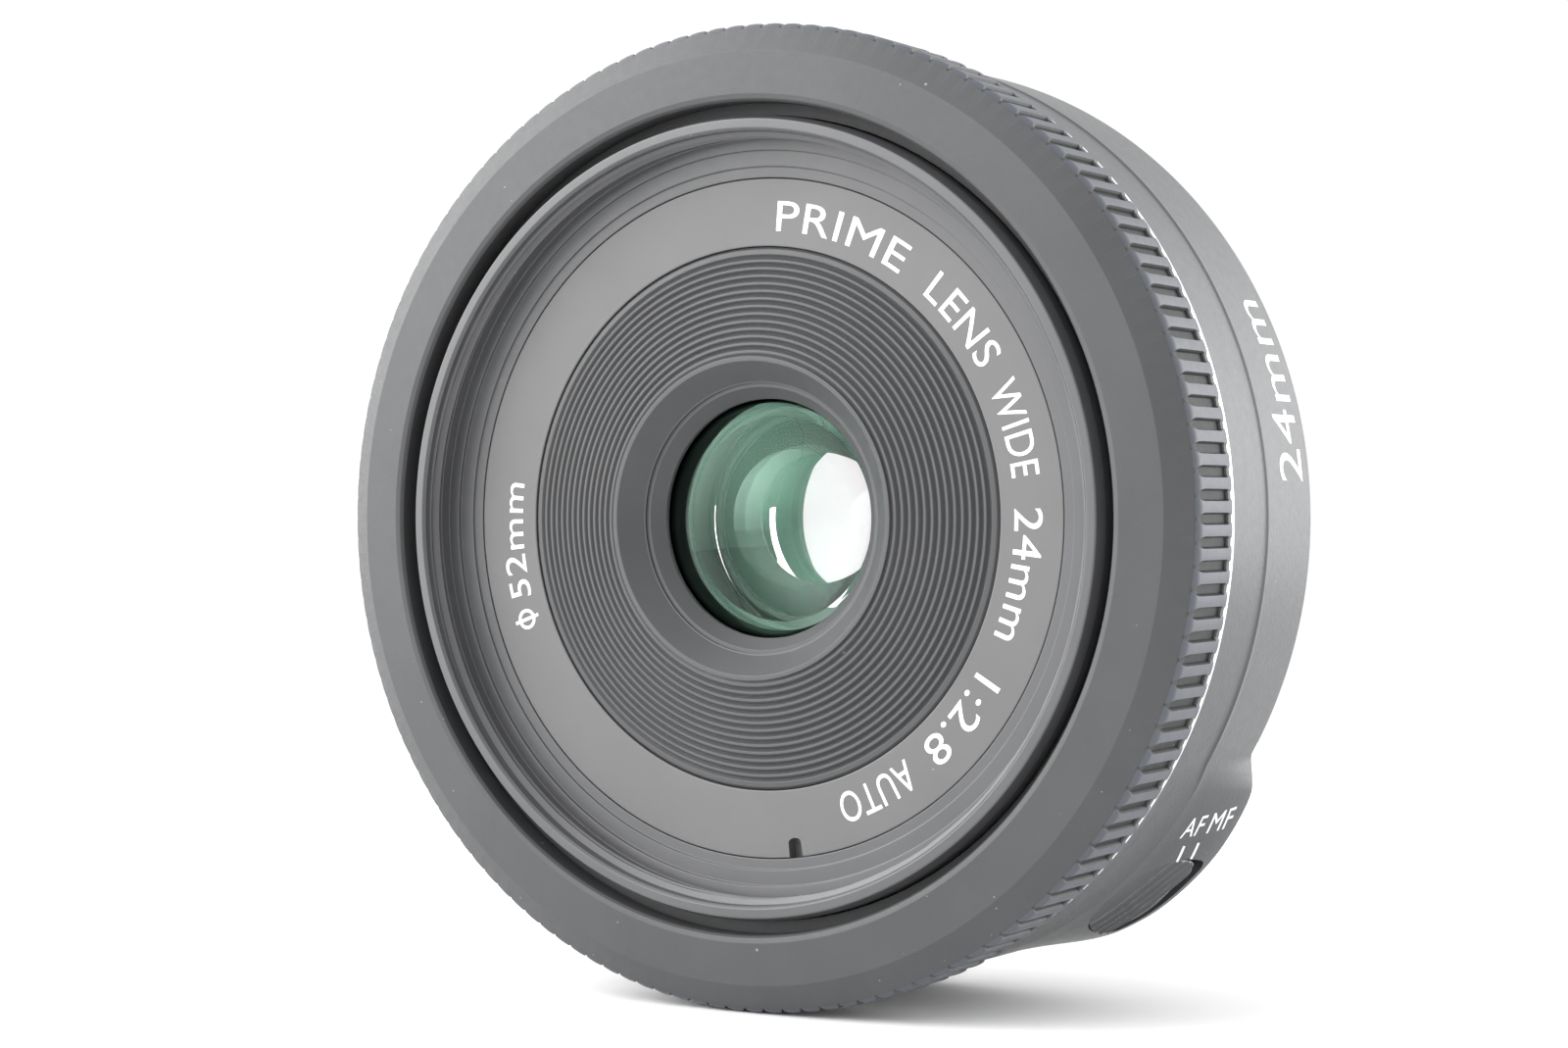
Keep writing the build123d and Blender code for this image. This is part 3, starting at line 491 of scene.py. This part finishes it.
ring_front = rounded([(32.999, 21.42), (31.36, 22.41, 0.16), (28.45, 22.80, 0.12), (28.12, 22.72, 0.10), (27.97, 22.48, 0.10), (27.97, 20.90, 0.08),
                      (29.50, 20.90, 0.05), (29.50, 15.07, 0.05), (30.60, 15.07, 0.03), (30.60, 14.20, 0.05), (31.40, 14.20, 0.05), (31.40, 16.05)], hold=0.06)
grip_z = [16.05, 16.08, 16.16, 16.30, 16.42, 16.50, 16.535, 16.565, 16.60, 16.635, 16.67, 16.72, 16.80, 16.95, 17.3, 18.0, 18.8, 19.4, 19.8, 20.05,
          20.25, 20.42, 20.56, 20.68, 20.78, 20.87, 20.95, 21.02, 21.09, 21.16, 21.23, 21.30, 21.36]
n_front = len(ring_front)


def ring_rows(i, key):
    a, u = key
    if i < n_front:
        return ring_front[i]
    z = grip_z[i - n_front]
    e = envelope(z)
    if i == n_front:
        e = 33.24
    d = groove_depth(z)
    # how deep this column is: 0 on the bar, 1 in the groove
    w = abs(u)
    k = smooth((w - 0.238) / 0.074)
    bow = 0.025 * math.cos(math.pi * min(1.0, w / 0.24) / 2) - 0.025
    floor_bow = -0.035 * smooth((w - 0.312) / 0.19)
    r = e + (bow if w < 0.25 else bow * (1 - k)) - k * d + k * floor_bow * (1 if 16.7 < z < 20.9 else 0)
    return (max(r, min(e, 32.98)), z)


verts, faces = [], []
cols = []
for q in range(RIBS):
    for u in U0:
        cols.append((q, u))
nr = n_front + len(grip_z)
for q, u in cols:
    for i in range(nr):
        uu = u
        if i >= n_front:
            z = grip_z[i - n_front]
            w = pocket_half(z)
            s = 1 if u >= 0 else -1
            au = abs(u)
            if au <= 0.275:
                au2 = au * (0.5 - w) / 0.275
            else:
                au2 = 0.5 - (0.5 - au) * w / 0.225
            uu = s * au2
        a = RIB_PHASE + (q + uu) * PITCH
        r, z = ring_rows(i, (a, u))
        verts.append(P(r, a, z))
nc = len(cols)
for j in range(nc):
    k = (j + 1) % nc
    for i in range(nr):
        m = (i + 1) % nr
        faces.append((j * nr + i, j * nr + m, k * nr + m, k * nr + i))
grip = finish_mesh("focus_grip_ring", mesh_of("focus_grip_ring", verts, faces), M["ring_plastic"], "focus_ring_body", ("focus_ring",), 32)
grip.data.materials.append(BAR_PAINTED_SHEEN)
grip.data.materials.append(GROOVE_PAINTED_SHADE)
bar = [False] * len(grip.data.polygons)
for poly in grip.data.polygons:
    c = poly.center
    zz = -c.y * 1000
    rr = math.hypot(c.x, c.z) * 1000
    # raised bar tops take the bluish bar material: painted sheen
    if 16.1 < zz < 21.38 and rr > envelope(zz) - 0.06:
        poly.material_index = 1
    # deep groove floors take the dark groove material: painted shade
    elif 16.45 < zz < 21.0 and rr < envelope(zz) - 0.20:
        poly.material_index = 2

revolve("silver_line_ring", [(31.40, 15.18), (33.05, 15.18), (33.05, 16.04), (31.40, 16.04)], 512, M["silver_trim"], "focus_ring_body",
        ("silver_trim_ring",), c=0.08)

# ------------------------------------------------------------------ inner barrel with the filter thread
THREAD_P = 0.75
ib = rounded([(26.30, 8.0, 0.1), (27.09, 8.0, 0.1), (27.09, 21.75, 0.1), (26.82, 22.62, 0.14), (26.18, 22.66, 0.10), (26.00, 22.46, 0.05), (26.00, 22.06)], hold=0.05)
zt = [22.0 - 1.28 * i / 44 for i in range(45)]
ib2 = rounded([(25.82, 20.60), (25.76, 20.02, 0.06), (24.94, 19.97, 0.04), (24.94, 19.70, 0.05), (23.86, 19.70, 0.04), (23.86, 19.52, 0.05), (23.12, 19.52, 0.04),
               (23.12, 18.70), (15.40, 18.70), (15.40, 17.93), (14.53, 17.93), (14.53, 17.40), (25.2, 17.40), (25.2, 18.2), (26.30, 18.2)], hold=0.05)
n1, n2, n3 = len(ib), len(zt), len(ib2)


def thread_r(z, a):
    t = ((z - THREAD_P * a / 360.0) / THREAD_P) % 1.0
    tri = abs(2 * t - 1)                       # 0 at a root, 1 at a crest
    g = min(1.0, max(0.0, (tri - 0.12) / 0.70))
    lead = smooth((22.02 - z) / 0.22)
    end = smooth((z - 20.70) / 0.18)
    crest = 26.00 - 0.41 * g
    return lerp(25.98, crest, lead) if z > 21.4 else lerp(25.84, crest, end)


def ib_rows(i, a):
    if i < n1:
        return ib[i]
    if i < n1 + n2:
        z = zt[i - n1]
        return (thread_r(z, a), z)
    return ib2[i - n1 - n2]


cols = [360.0 * j / 640 for j in range(640)]
verts, faces = grid_ring(ib_rows, n1 + n2 + n3, cols)
finish_mesh("threaded_front_barrel", mesh_of("threaded_front_barrel", verts, faces), M["inner_barrel_plastic"], "optical_unit",
            ("inner_barrel",), 32)

# ------------------------------------------------------------------ name ring with its notch
NOTCH = 277.4
base_cols = [360.0 * j / 480 for j in range(480)]
half = math.degrees(0.50 / 22.4)
cols = sorted([a for a in base_cols if abs(a - NOTCH) > 1.9] + [NOTCH + s * d for s in (-1, 1) for d in (1.85, 1.6, half + 0.10, half + 0.03, half - 0.02, half * 0.9, half * 0.72,
                                                                                                       half * 0.5, half * 0.25)] + [NOTCH])


def name_outer(a):
    d = abs(a - NOTCH)
    if d >= half:
        return 23.07
    x = d / half
    return 21.78 + 0.32 * (1 - math.sqrt(max(0.0, 1 - x * x)))


nm_prof = rounded([(18.48, 18.72), (23.07, 18.72), (23.07, 19.50, 0.07), (18.48, 19.50, 0.07)], hold=0.06)


def name_rows(i, a):
    r, z = nm_prof[i]
    ro = name_outer(a)
    if r > 20.7:
        k = (r - 20.7) / (23.07 - 20.7)
        r = 20.7 + (ro - 20.7) * k
    return (r, z)


verts, faces = grid_ring(name_rows, len(nm_prof), cols)
finish_mesh("name_plate_ring", mesh_of("name_plate_ring", verts, faces), M["name_plate"], "optical_unit", ("name_ring",), 32)

# ------------------------------------------------------------------ ridged light baffle
bp = [(18.45, 18.72), (18.45, 19.30, 0.10), (18.26, 19.52, 0.08), (17.93, 19.58, 0.04)]
NR = 13
for i in range(NR):
    ra = 17.75 + (11.05 - 17.75) * i / NR
    rb = 17.75 + (11.05 - 17.75) * (i + 1) / NR
    za = 19.52 + 1.10 * i / NR
    zb = 19.52 + 1.10 * (i + 1) / NR
    mid = (ra + rb) / 2
    bp += [(ra - 0.01, za - 0.11, 0.03), (mid + 0.07, zb + 0.07, 0.035), (mid - 0.09, zb + 0.08, 0.035)]
bp += [(11.03, 20.60, 0.03), (10.98, 20.84, 0.05), (10.66, 20.84, 0.08), (9.32, 19.44, 0.05), (9.22, 19.42, 0.03), (9.22, 19.22, 0.03), (8.95, 19.20, 0.03), (8.18, 18.34, 0.05),
       (8.16, 18.04, 0.03), (9.0, 18.04), (11.6, 18.72)]
revolve("ridged_baffle", bp, 512, M["baffle_plastic"], "optical_unit", ("front_baffle",), angle=34, hold=0.03, steps=2)


# ------------------------------------------------------------------ optics
def sag_z(R, x, z):
    s = 1 if R > 0 else -1
    return z - s * (abs(R) - math.sqrt(R * R - x * x))


def lens(name, zf, Rf, rf, zb, Rb, rb, r, mat, node, slot):
    """One element: front vertex zf, back vertex zb, signed radii as seen from the front, rim radius r."""
    prof = [(0, zf)]
    N = 14
    for i in range(1, N + 1):
        x = rf * i / N
        prof.append((x, sag_z(Rf, x, zf)))
    zf_e = prof[-1][1]
    if r > rf + 1e-6:
        prof.append((r, zf_e))
    zb_e = sag_z(Rb, rb, zb)
    prof.append((r, zb_e))
    if r > rb + 1e-6:
        prof.append((rb, zb_e))
    for i in range(N - 1, 0, -1):
        x = rb * i / N
        prof.append((x, sag_z(Rb, x, zb)))
    prof.append((0, zb))
    return solid_of_revolution(name, prof, 160, mat, "optical_unit", (node,), 30)


ELEMENTS = [
    dict(zf=19.30, Rf=25.0, rf=9.0, zb=17.90, Rb=11.0, rb=6.8, r=9.0),
    dict(zf=16.40, Rf=16.0, rf=7.2, zb=13.00, Rb=-40.0, rb=7.2, r=7.4),
    dict(zf=6.90, Rf=-14.0, rf=5.6, zb=6.00, Rb=14.0, rb=6.2, r=6.2),
    dict(zf=5.94, Rf=14.0, rf=6.2, zb=2.60, Rb=-11.0, rb=5.6, r=6.2),
    dict(zf=2.20, Rf=-30.0, rf=6.6, zb=-0.80, Rb=-14.0, rb=7.2, r=7.7),
    dict(zf=-1.30, Rf=-20.0, rf=7.6, zb=-2.90, Rb=-60.0, rb=8.0, r=8.4),
]
for i, e in enumerate(ELEMENTS):
    s = "coated_glass" if i in (0, 5) else "optical_glass"
    lens("glass_element_%d" % (i + 1), mat=M[s], node="lens_element_%d" % (i + 1), slot=s, **e)

# ------------------------------------------------------------------ rear barrel with the switch bulge
H_TAB = ((0.90, 2.12), (2.0, 1.97), (4.0, 1.56), (6.2, 1.02), (8.0, 0.57), (10.0, 0.22), (12.2, 0.02))
W_TAB = ((-71.4, -0.04), (-70.0, 0.01), (-68.2, 0.08), (-66.0, 0.22), (-63.5, 0.42), (-61.0, 0.61), (-58.5, 0.77), (-56.0, 0.87), (-52.5, 0.97), (-49.0, 1.0),
         (-45.5, 1.0), (-42.0, 0.97), (-38.6, 0.88), (-35.4, 0.76), (-33.4, 0.63), (-31.8, 0.36), (-30.3, 0.07), (-29.3, -0.04))
B_PROF = ((0.90, 32.38), (0.94, 32.45), (1.02, 32.53), (1.15, 32.57))


def barrel_r(z, bead=1.0):
    if z <= 1.15:
        return table(B_PROF, z)
    line = bead * 0.085 * math.exp(-((z - 8.6) / 0.17) ** 2)
    if z <= 8.60:
        return 32.57 + line
    r = lerp(lerp(32.57, 32.52, bead), 32.28, (z - 8.60) / 5.15) + line + bead * 0.05 * math.exp(-((z - 8.6) / 0.3) ** 2)
    if z > 13.52:
        r = lerp(r, 31.92, smooth((z - 13.52) / 0.12))
    return r


def skin_r(z, a):
    aa = ((a + 180) % 360) - 180
    off = min(abs(aa + 29.3), abs(aa + 71.4)) if -71.4 < aa < -29.3 else 0.0
    r = barrel_r(z, 1 - smooth(off / 6.0))
    if -71.4 < aa < -29.3 and z < 12.2:
        r = max(r, r - 0.01 + table(H_TAB, max(0.9, z)) * max(-0.04, table(W_TAB, aa)) - (0.25 * max(0, 1.15 - z)))
    return r


out_z = [0.90, 0.94, 1.02, 1.15, 1.25] + [1.6 + 0.35 * i for i in range(20)] + [8.40, 8.46, 8.52, 8.56, 8.60, 8.64, 8.68, 8.74, 8.82, 8.92] + [9.1 + 0.4 * i for i in range(11)] + [13.46, 13.52, 13.56, 13.60, 13.64, 13.70, 13.76, 14.2, 14.50, 14.58]
inner_pts = [(31.88, 14.60), (31.76, 14.60), (31.72, 14.5), (31.72, 9.0), (31.72, 1.76), (31.06, 1.76), (31.06, 0.92), (31.08, 0.90)]
fine = [-73 + 0.30 * i for i in range(int(45.5 / 0.30))]
cols = fine + [0.75 * j for j in range(480) if not (286.8 <= 0.75 * j <= 332.3)]
cols = sorted(set(round(((a + 360) % 360), 5) for a in cols))


def barrel_rows(i, a):
    if i < len(out_z):
        z = out_z[i]
        return (skin_r(z, a), z)
    return inner_pts[i - len(out_z)]


verts, faces = grid_ring(barrel_rows, len(out_z) + len(inner_pts), cols)
barrel_me = mesh_of("rear_barrel_shell", verts, faces)


SLOT_A = -50.6
st, ct = math.sin(math.radians(SLOT_A)), math.cos(math.radians(SLOT_A))
ARC_Z = 3.45


def window(half, rear, c, n=28):
    """Outline of the switch window: a half circle in front, square behind with rounded corners."""
    y0 = rear - ARC_Z
    pts = [(half * math.cos(math.pi * k / n), half * math.sin(math.pi * k / n)) for k in range(n + 1)]
    pts += [(-half + c - c * math.cos(math.pi / 2 * k / 6), y0 + c - c * math.sin(math.pi / 2 * k / 6)) for k in range(7)]
    pts += [(half - c + c * math.sin(math.pi / 2 * k / 6), y0 + c - c * math.cos(math.pi / 2 * k / 6)) for k in range(7)]
    return pts


def slot_point(x, y, h, zc):
    """x along the circumference (mm, towards +angle), y along the axis towards the front, h out from the axis."""
    return ((h * ct - x * st) * MM, -(zc + y) * MM, (h * st + x * ct) * MM)


def prism(name, outline, h0, h1, zc, tops=None):
    n = len(outline)
    v = [slot_point(x, y, h0, zc) for x, y in outline] + [slot_point(x, y, h1, zc) for x, y in outline]
    f = [tuple(range(n)), tuple(range(2 * n - 1, n - 1, -1))] + [(i, n + i, n + (i + 1) % n, (i + 1) % n) for i in range(n)]
    return mesh_of(name, v, f)


def apply_boolean(me, cutters, op="DIFFERENCE"):
    a = bpy.data.objects.new("tmp_a", me)
    COL.objects.link(a)
    bm = bmesh.new()
    bm.from_mesh(me)
    bmesh.ops.recalc_face_normals(bm, faces=bm.faces)
    bm.to_mesh(me)
    bm.free()
    tmp = []
    for c in cutters:
        bm = bmesh.new()
        bm.from_mesh(c)
        bmesh.ops.recalc_face_normals(bm, faces=bm.faces)
        bm.to_mesh(c)
        bm.free()
        o = bpy.data.objects.new("tmp_c", c)
        COL.objects.link(o)
        tmp.append(o)
        md = a.modifiers.new("cut", "BOOLEAN")
        md.operation = op
        md.solver = "EXACT"
        md.object = o
    bpy.context.view_layer.update()
    dg = bpy.context.evaluated_depsgraph_get()
    res = bpy.data.meshes.new_from_object(a.evaluated_get(dg))
    for o in tmp + [a]:
        bpy.data.objects.remove(o)
    return res


cut = prism("slot_cut", window(4.5, 1.70, 0.9), 30.0, 36.5, ARC_Z)
barrel_me = apply_boolean(barrel_me, [cut])
shell = finish_mesh("rear_barrel_shell", barrel_me, M["barrel_plastic"], "fixed_barrel", ("rear_barrel",), 40, recalc=False)
shell.data.materials.append(M["matt_black"])
# faces behind z 13.54 (the step behind the silver ring) and inside r 31.9 take the flat black; on the step it is
# painted shade, the dark line between ring and barrel
for poly in shell.data.polygons:
    c = poly.center
    if -c.y * 1000 > 13.54 or math.hypot(c.x, c.z) * 1000 < 31.9:
        poly.material_index = 1

# ------------------------------------------------------------------ AF/MF knob
K_HALF, K_REAR, K_C = 4.42, 2.98, 1.0


def knob_y(x):
    """Front and rear limits of the knob's outline at x."""
    hi = math.sqrt(max(0.0, K_HALF ** 2 - x * x))
    lo = K_REAR - ARC_Z
    q = abs(x) - (K_HALF - K_C)
    if q > 0:
        lo += K_C - math.sqrt(max(0.0, K_C * K_C - q * q))
    return lo, max(hi, lo + 0.02)


def knob_skin(x, y):
    h = 33.9
    for _ in range(4):
        h += skin_r(ARC_Z + y, SLOT_A + math.degrees(math.atan2(x, h))) - math.hypot(h, x)
    return h


def knob_top(x, y):
    """Just under the surrounding skin. From the rear: six fine ridges that follow the outline, a step, then a smooth scoop that runs down to the front edge."""
    lo, hi = knob_y(x)
    hi0 = K_HALF
    base = knob_skin(x, y) + lerp(0.30, -0.10, smooth((y - lo) / 3.6))
    s_ = y - 0.030 * (x + 0.4) ** 2 * (1.0 if x > -0.4 else 0.55) * -1.0      # contour co-ordinate: lines bend towards the rear at the ends
    h = base
    crests = (-0.47, 0.08, 0.66, 1.26, 1.88, 2.62)
    if s_ < crests[-1]:
        for c0, c1 in zip(crests, crests[1:]):
            if s_ < c1 or c1 == crests[-1]:
                t = min(1.0, max(0.0, (s_ - c0) / (c1 - c0)))
                h -= 0.17 * math.sin(math.pi * t) ** 0.8
                break
    else:
        t = min(1.0, (s_ - crests[-1]) / 1.75)
        h += -0.34 * math.sin(math.pi / 2 * t) ** 0.9 + 0.10 * smooth((t - 0.7) / 0.3)
    e = min(K_HALF - abs(x), hi - y, y - lo)
    return h - 0.10 * (1 - smooth(e / 0.14))


NX, NY = 97, 81
kv, kf, low = [], [], []
for i in range(NX):
    x = K_HALF * 0.9985 * math.sin(math.pi / 2 * (-1 + 2 * i / (NX - 1)))
    lo, hi = knob_y(x)
    for j in range(NY):
        y = lo + (hi - lo) * j / (NY - 1)
        kv.append(slot_point(x, y, knob_top(x, y), ARC_Z))
        low.append(slot_point(x, y, 32.4, ARC_Z))
nk = len(kv)
kv += low
for i in range(NX - 1):
    for j in range(NY - 1):
        a = i * NY + j
        kf.append((a, a + NY, a + NY + 1, a + 1))
        kf.append((nk + a, nk + a + 1, nk + a + NY + 1, nk + a + NY))
rim = [i * NY for i in range(NX)] + [(NX - 1) * NY + j for j in range(1, NY)] + [i * NY + NY - 1 for i in range(NX - 2, -1, -1)] + [j for j in range(NY - 2, 0, -1)]
for q in range(len(rim)):
    a, b = rim[q], rim[(q + 1) % len(rim)]
    kf.append((a, b, nk + b, nk + a))
finish_mesh("af_mf_knob", mesh_of("af_mf_knob", kv, kf), M["knob_plastic"], "af_mf_switch", ("switch_knob",), 50)


# ------------------------------------------------------------------ lettering
def text_mesh(s, size, bold=0.0, spacing=1.0):
    cu = bpy.data.curves.new("tmp_text", "FONT")
    cu.body = s
    cu.size = size
    cu.offset = bold
    cu.space_character = spacing
    cu.resolution_u = 5
    ob = bpy.data.objects.new("tmp_text", cu)
    COL.objects.link(ob)
    bpy.context.view_layer.update()
    me = bpy.data.meshes.new_from_object(ob.evaluated_get(bpy.context.evaluated_depsgraph_get()))
    bpy.data.objects.remove(ob)
    bpy.data.curves.remove(cu)
    return me


def thicken(me, map_fn, t):
    """Flat letters to raised ink: map_fn(x, y, h) places a point; top and sides."""
    bm = bmesh.new()
    bm.from_mesh(me)
    bmesh.ops.triangulate(bm, faces=bm.faces)
    bmesh.ops.remove_doubles(bm, verts=bm.verts, dist=1e-4)
    for _ in range(2):
        bmesh.ops.subdivide_edges(bm, edges=[e for e in bm.edges if e.calc_length() > 0.6], cuts=1)
        bmesh.ops.triangulate(bm, faces=bm.faces)
    geom = bmesh.ops.extrude_face_region(bm, geom=list(bm.faces))
    new = [v for v in geom["geom"] if isinstance(v, bmesh.types.BMVert)]
    newset = set(new)
    for v in bm.verts:
        x, y = v.co.x, v.co.y
        v.co = Vector(map_fn(x, y, t if v in newset else -0.03))
    bmesh.ops.recalc_face_normals(bm, faces=bm.faces)
    out = bpy.data.meshes.new("ink")
    bm.to_mesh(out)
    bm.free()
    return out


def fit_word(s, size, bold, width):
    """Letter mesh scaled along its line to the wanted width, starting at 0."""
    me = text_mesh(s, size, bold, 1.06)
    x0 = min(v.co.x for v in me.vertices)
    x1 = max(v.co.x for v in me.vertices)
    k = width / (x1 - x0)
    for v in me.vertices:
        v.co.x = (v.co.x - x0) * k
    return me


CAP = 2.16                       # capital height
SIZE = CAP / 0.73
for idx, (word, a_from, a_to) in enumerate((("PRIME", 85.6, 56.0), ("LENS", 49.0, 29.8), ("WIDE", 25.4, 7.6), ("24mm", 1.8, -22.8), ("1:2.8", -31.0, -49.8), ("AUTO", -54.6, -71.6))):
    r_base = 19.52
    width = math.radians(a_from - a_to) * (r_base + CAP * 0.5)
    me = fit_word(word, SIZE, 0.0, width)

    def place(x, y, h, a0=a_from, rb=r_base):
        return P(rb + y, a0 - math.degrees(x / (rb + CAP * 0.5)), 19.50 + h)
    finish_mesh("ring_text_%d" % idx, thicken(me, place, 0.012), INK, "optical_unit", angle=40, recalc=False)
me = fit_word("52mm", SIZE * 0.86, 0.0, math.radians(23.2) * 20.4)


def place(x, y, h):
    return P(19.62 + y, 195.9 - math.degrees(x / 20.5), 19.50 + h)


finish_mesh("ring_text_size", thicken(me, place, 0.012), INK, "optical_unit", angle=40, recalc=False)


def place_phi(x, y, h):
    return P(19.62 + y, 202.4 - math.degrees(x / 20.5), 19.50 + h)


# the diameter mark: a ring with a stroke through it, as one flat outline drawn in cells
bm = bmesh.new()
N = 40
ro, ri, hw, cx, cy = 0.72, 0.49, 0.115, 0.75, 0.93
loop_o = [bm.verts.new((cx + ro * math.cos(2 * math.pi * k / N), cy + ro * math.sin(2 * math.pi * k / N), 0)) for k in range(N)]
loop_i = [bm.verts.new((cx + ri * math.cos(2 * math.pi * k / N), cy + ri * math.sin(2 * math.pi * k / N), 0)) for k in range(N)]
for k in range(N):
    bm.faces.new((loop_o[k], loop_o[(k + 1) % N], loop_i[(k + 1) % N], loop_i[k]))
for y0, y1 in ((cy - 1.02, cy - ro - 0.001), (cy - ri + 0.001, cy + ri - 0.001), (cy + ro + 0.001, cy + 1.02)):
    q = [bm.verts.new((cx + sx * hw, y, 0)) for sx, y in ((-1, y0), (1, y0), (1, y1), (-1, y1))]
    bm.faces.new(q)
me = bpy.data.meshes.new("phi")
bm.to_mesh(me)
bm.free()
finish_mesh("ring_text_diameter_mark", thicken(me, place_phi, 0.012), INK, "optical_unit", angle=40, recalc=False)

# barrel text: letters' tops towards the front, reading upwards
me = fit_word("24mm", 4.0 / 0.73, 0.0, math.radians(22.5) * 32.6)


def place(x, y, h):
    z = 2.35 + y
    return P(skin_r(z, 0) + h, 4.2 + math.degrees(x / 32.6), z)


finish_mesh("barrel_text_size", thicken(me, place, 0.015), INK, "fixed_barrel", angle=40, recalc=False)

# AF MF: letters' tops towards +angle, reading towards the rear
def raised(me_or_word, z0, z1, name, cap=1.85):
    me = fit_word(me_or_word, cap / 0.73, 0.0, z0 - z1)

    def place(x, y, h, zz=z0):
        z = zz - x + 0.22 * y
        a = -40.3 + 0.45 * (6.8 - z) + math.degrees(y / 33.6)
        return P(skin_r(z, a) + h, a, z)
    finish_mesh(name, thicken(me, place, 0.015), INK, "fixed_barrel", angle=40, recalc=False)


raised("AF", 6.85, 4.95, "switch_text_0")
raised("MF", 4.35, 2.05, "switch_text_1")
for idx, (a0, z0, a1, z1) in enumerate(((-43.7, 5.12, -41.3, 5.72), (-43.0, 3.88, -40.6, 4.42))):
    pts = []
    for k in range(7):
        t = k / 6
        a, z = lerp(a0, a1, t), lerp(z0, z1, t)
        for dz in (-0.13, 0.13):
            pts.append((a, z + dz))
    v = [P(skin_r(z, a) - 0.03, a, z) for a, z in pts] + [P(skin_r(z, a) + 0.015, a, z) for a, z in pts]
    n = len(pts)
    f = []
    for k in range(6):
        q = 2 * k
        f += [(n + q, n + q + 1, n + q + 3, n + q + 2), (q, q + 2, q + 3, q + 1), (q, n + q, n + q + 2, q + 2), (q + 1, q + 3, n + q + 3, n + q + 1)]
    f += [(0, 1, n + 1, n), (n - 2, 2 * n - 2, 2 * n - 1, n - 1)]
    finish_mesh("switch_tick_%d" % idx, mesh_of("switch_tick_%d" % idx, v, f), INK, "fixed_barrel", angle=40)

# ------------------------------------------------------------------ stage, lights, camera
floor_me = bpy.data.meshes.new("floor")
FLOOR_R = 0.24
ringv = [(FLOOR_R * math.cos(2 * math.pi * k / 96), FLOOR_R * math.sin(2 * math.pi * k / 96), -0.03338) for k in range(96)]
floor_me.from_pydata(ringv, [], [tuple(range(96))])
fm, nt, b = new_mat("floor_white")
b.inputs["Base Color"].default_value = (0.85, 0.85, 0.85, 1)
b.inputs["Roughness"].default_value = 0.6
b.inputs["Specular IOR Level"].default_value = 0.2
floor_me.materials.append(fm)
floor = bpy.data.objects.new("floor", floor_me)
COL.objects.link(floor)

world = bpy.data.worlds.new("world")
SCN.world = world
world.use_nodes = True
wt = world.node_tree
bg = next(n for n in wt.nodes if n.type == "BACKGROUND")
bg.inputs["Color"].default_value = (1, 1, 1, 1)
# a white studio: even light all round, brighter in soft lobes about these directions
BASE = 1.0
LOBES = (((-1, 0, 0.35), 2.6), ((-0.65, -0.6, 0.45), 5.9), ((0, -0.7, 0.7), 0.5), ((0.65, 0.65, 0.15), 4.6))
tc = wt.nodes.new("ShaderNodeTexCoord")
last = None
for d, k in LOBES:
    dot = wt.nodes.new("ShaderNodeVectorMath")
    dot.operation = "DOT_PRODUCT"
    dot.inputs[1].default_value = Vector(d).normalized()
    wt.links.new(tc.outputs["Generated"], dot.inputs[0])
    mx = wt.nodes.new("ShaderNodeMath")
    mx.operation = "MAXIMUM"
    mx.inputs[1].default_value = 0.0
    wt.links.new(dot.outputs["Value"], mx.inputs[0])
    pw = wt.nodes.new("ShaderNodeMath")
    pw.operation = "POWER"
    pw.inputs[1].default_value = 6.0
    wt.links.new(mx.outputs[0], pw.inputs[0])
    ma = wt.nodes.new("ShaderNodeMath")
    ma.operation = "MULTIPLY_ADD"
    ma.inputs[1].default_value = k
    ma.inputs[2].default_value = BASE
    wt.links.new(pw.outputs[0], ma.inputs[0])
    if last is not None:
        wt.links.new(last, ma.inputs[2])
    last = ma.outputs[0]
wt.links.new(last, bg.inputs["Strength"])

cam = bpy.data.cameras.new("camera")
cam.lens = 73.69
cam.sensor_width = 36
cam.clip_start = 0.01
cam.clip_end = 50
co = bpy.data.objects.new("camera", cam)
right = Vector((0.85624, 0.51658, -0.00255))
back = Vector((0.51659, -0.85622, 0.00423)).normalized()
up = back.cross(right).normalized()
right = up.cross(back).normalized()
mw = Matrix((right, up, back)).transposed().to_4x4()
mw.translation = Vector((0.11420, -0.20536, 0.00054))
co.matrix_world = mw
COL.objects.link(co)
SCN.camera = co
SCN.view_settings.view_transform = "Standard"
SCN.view_settings.look = "None"
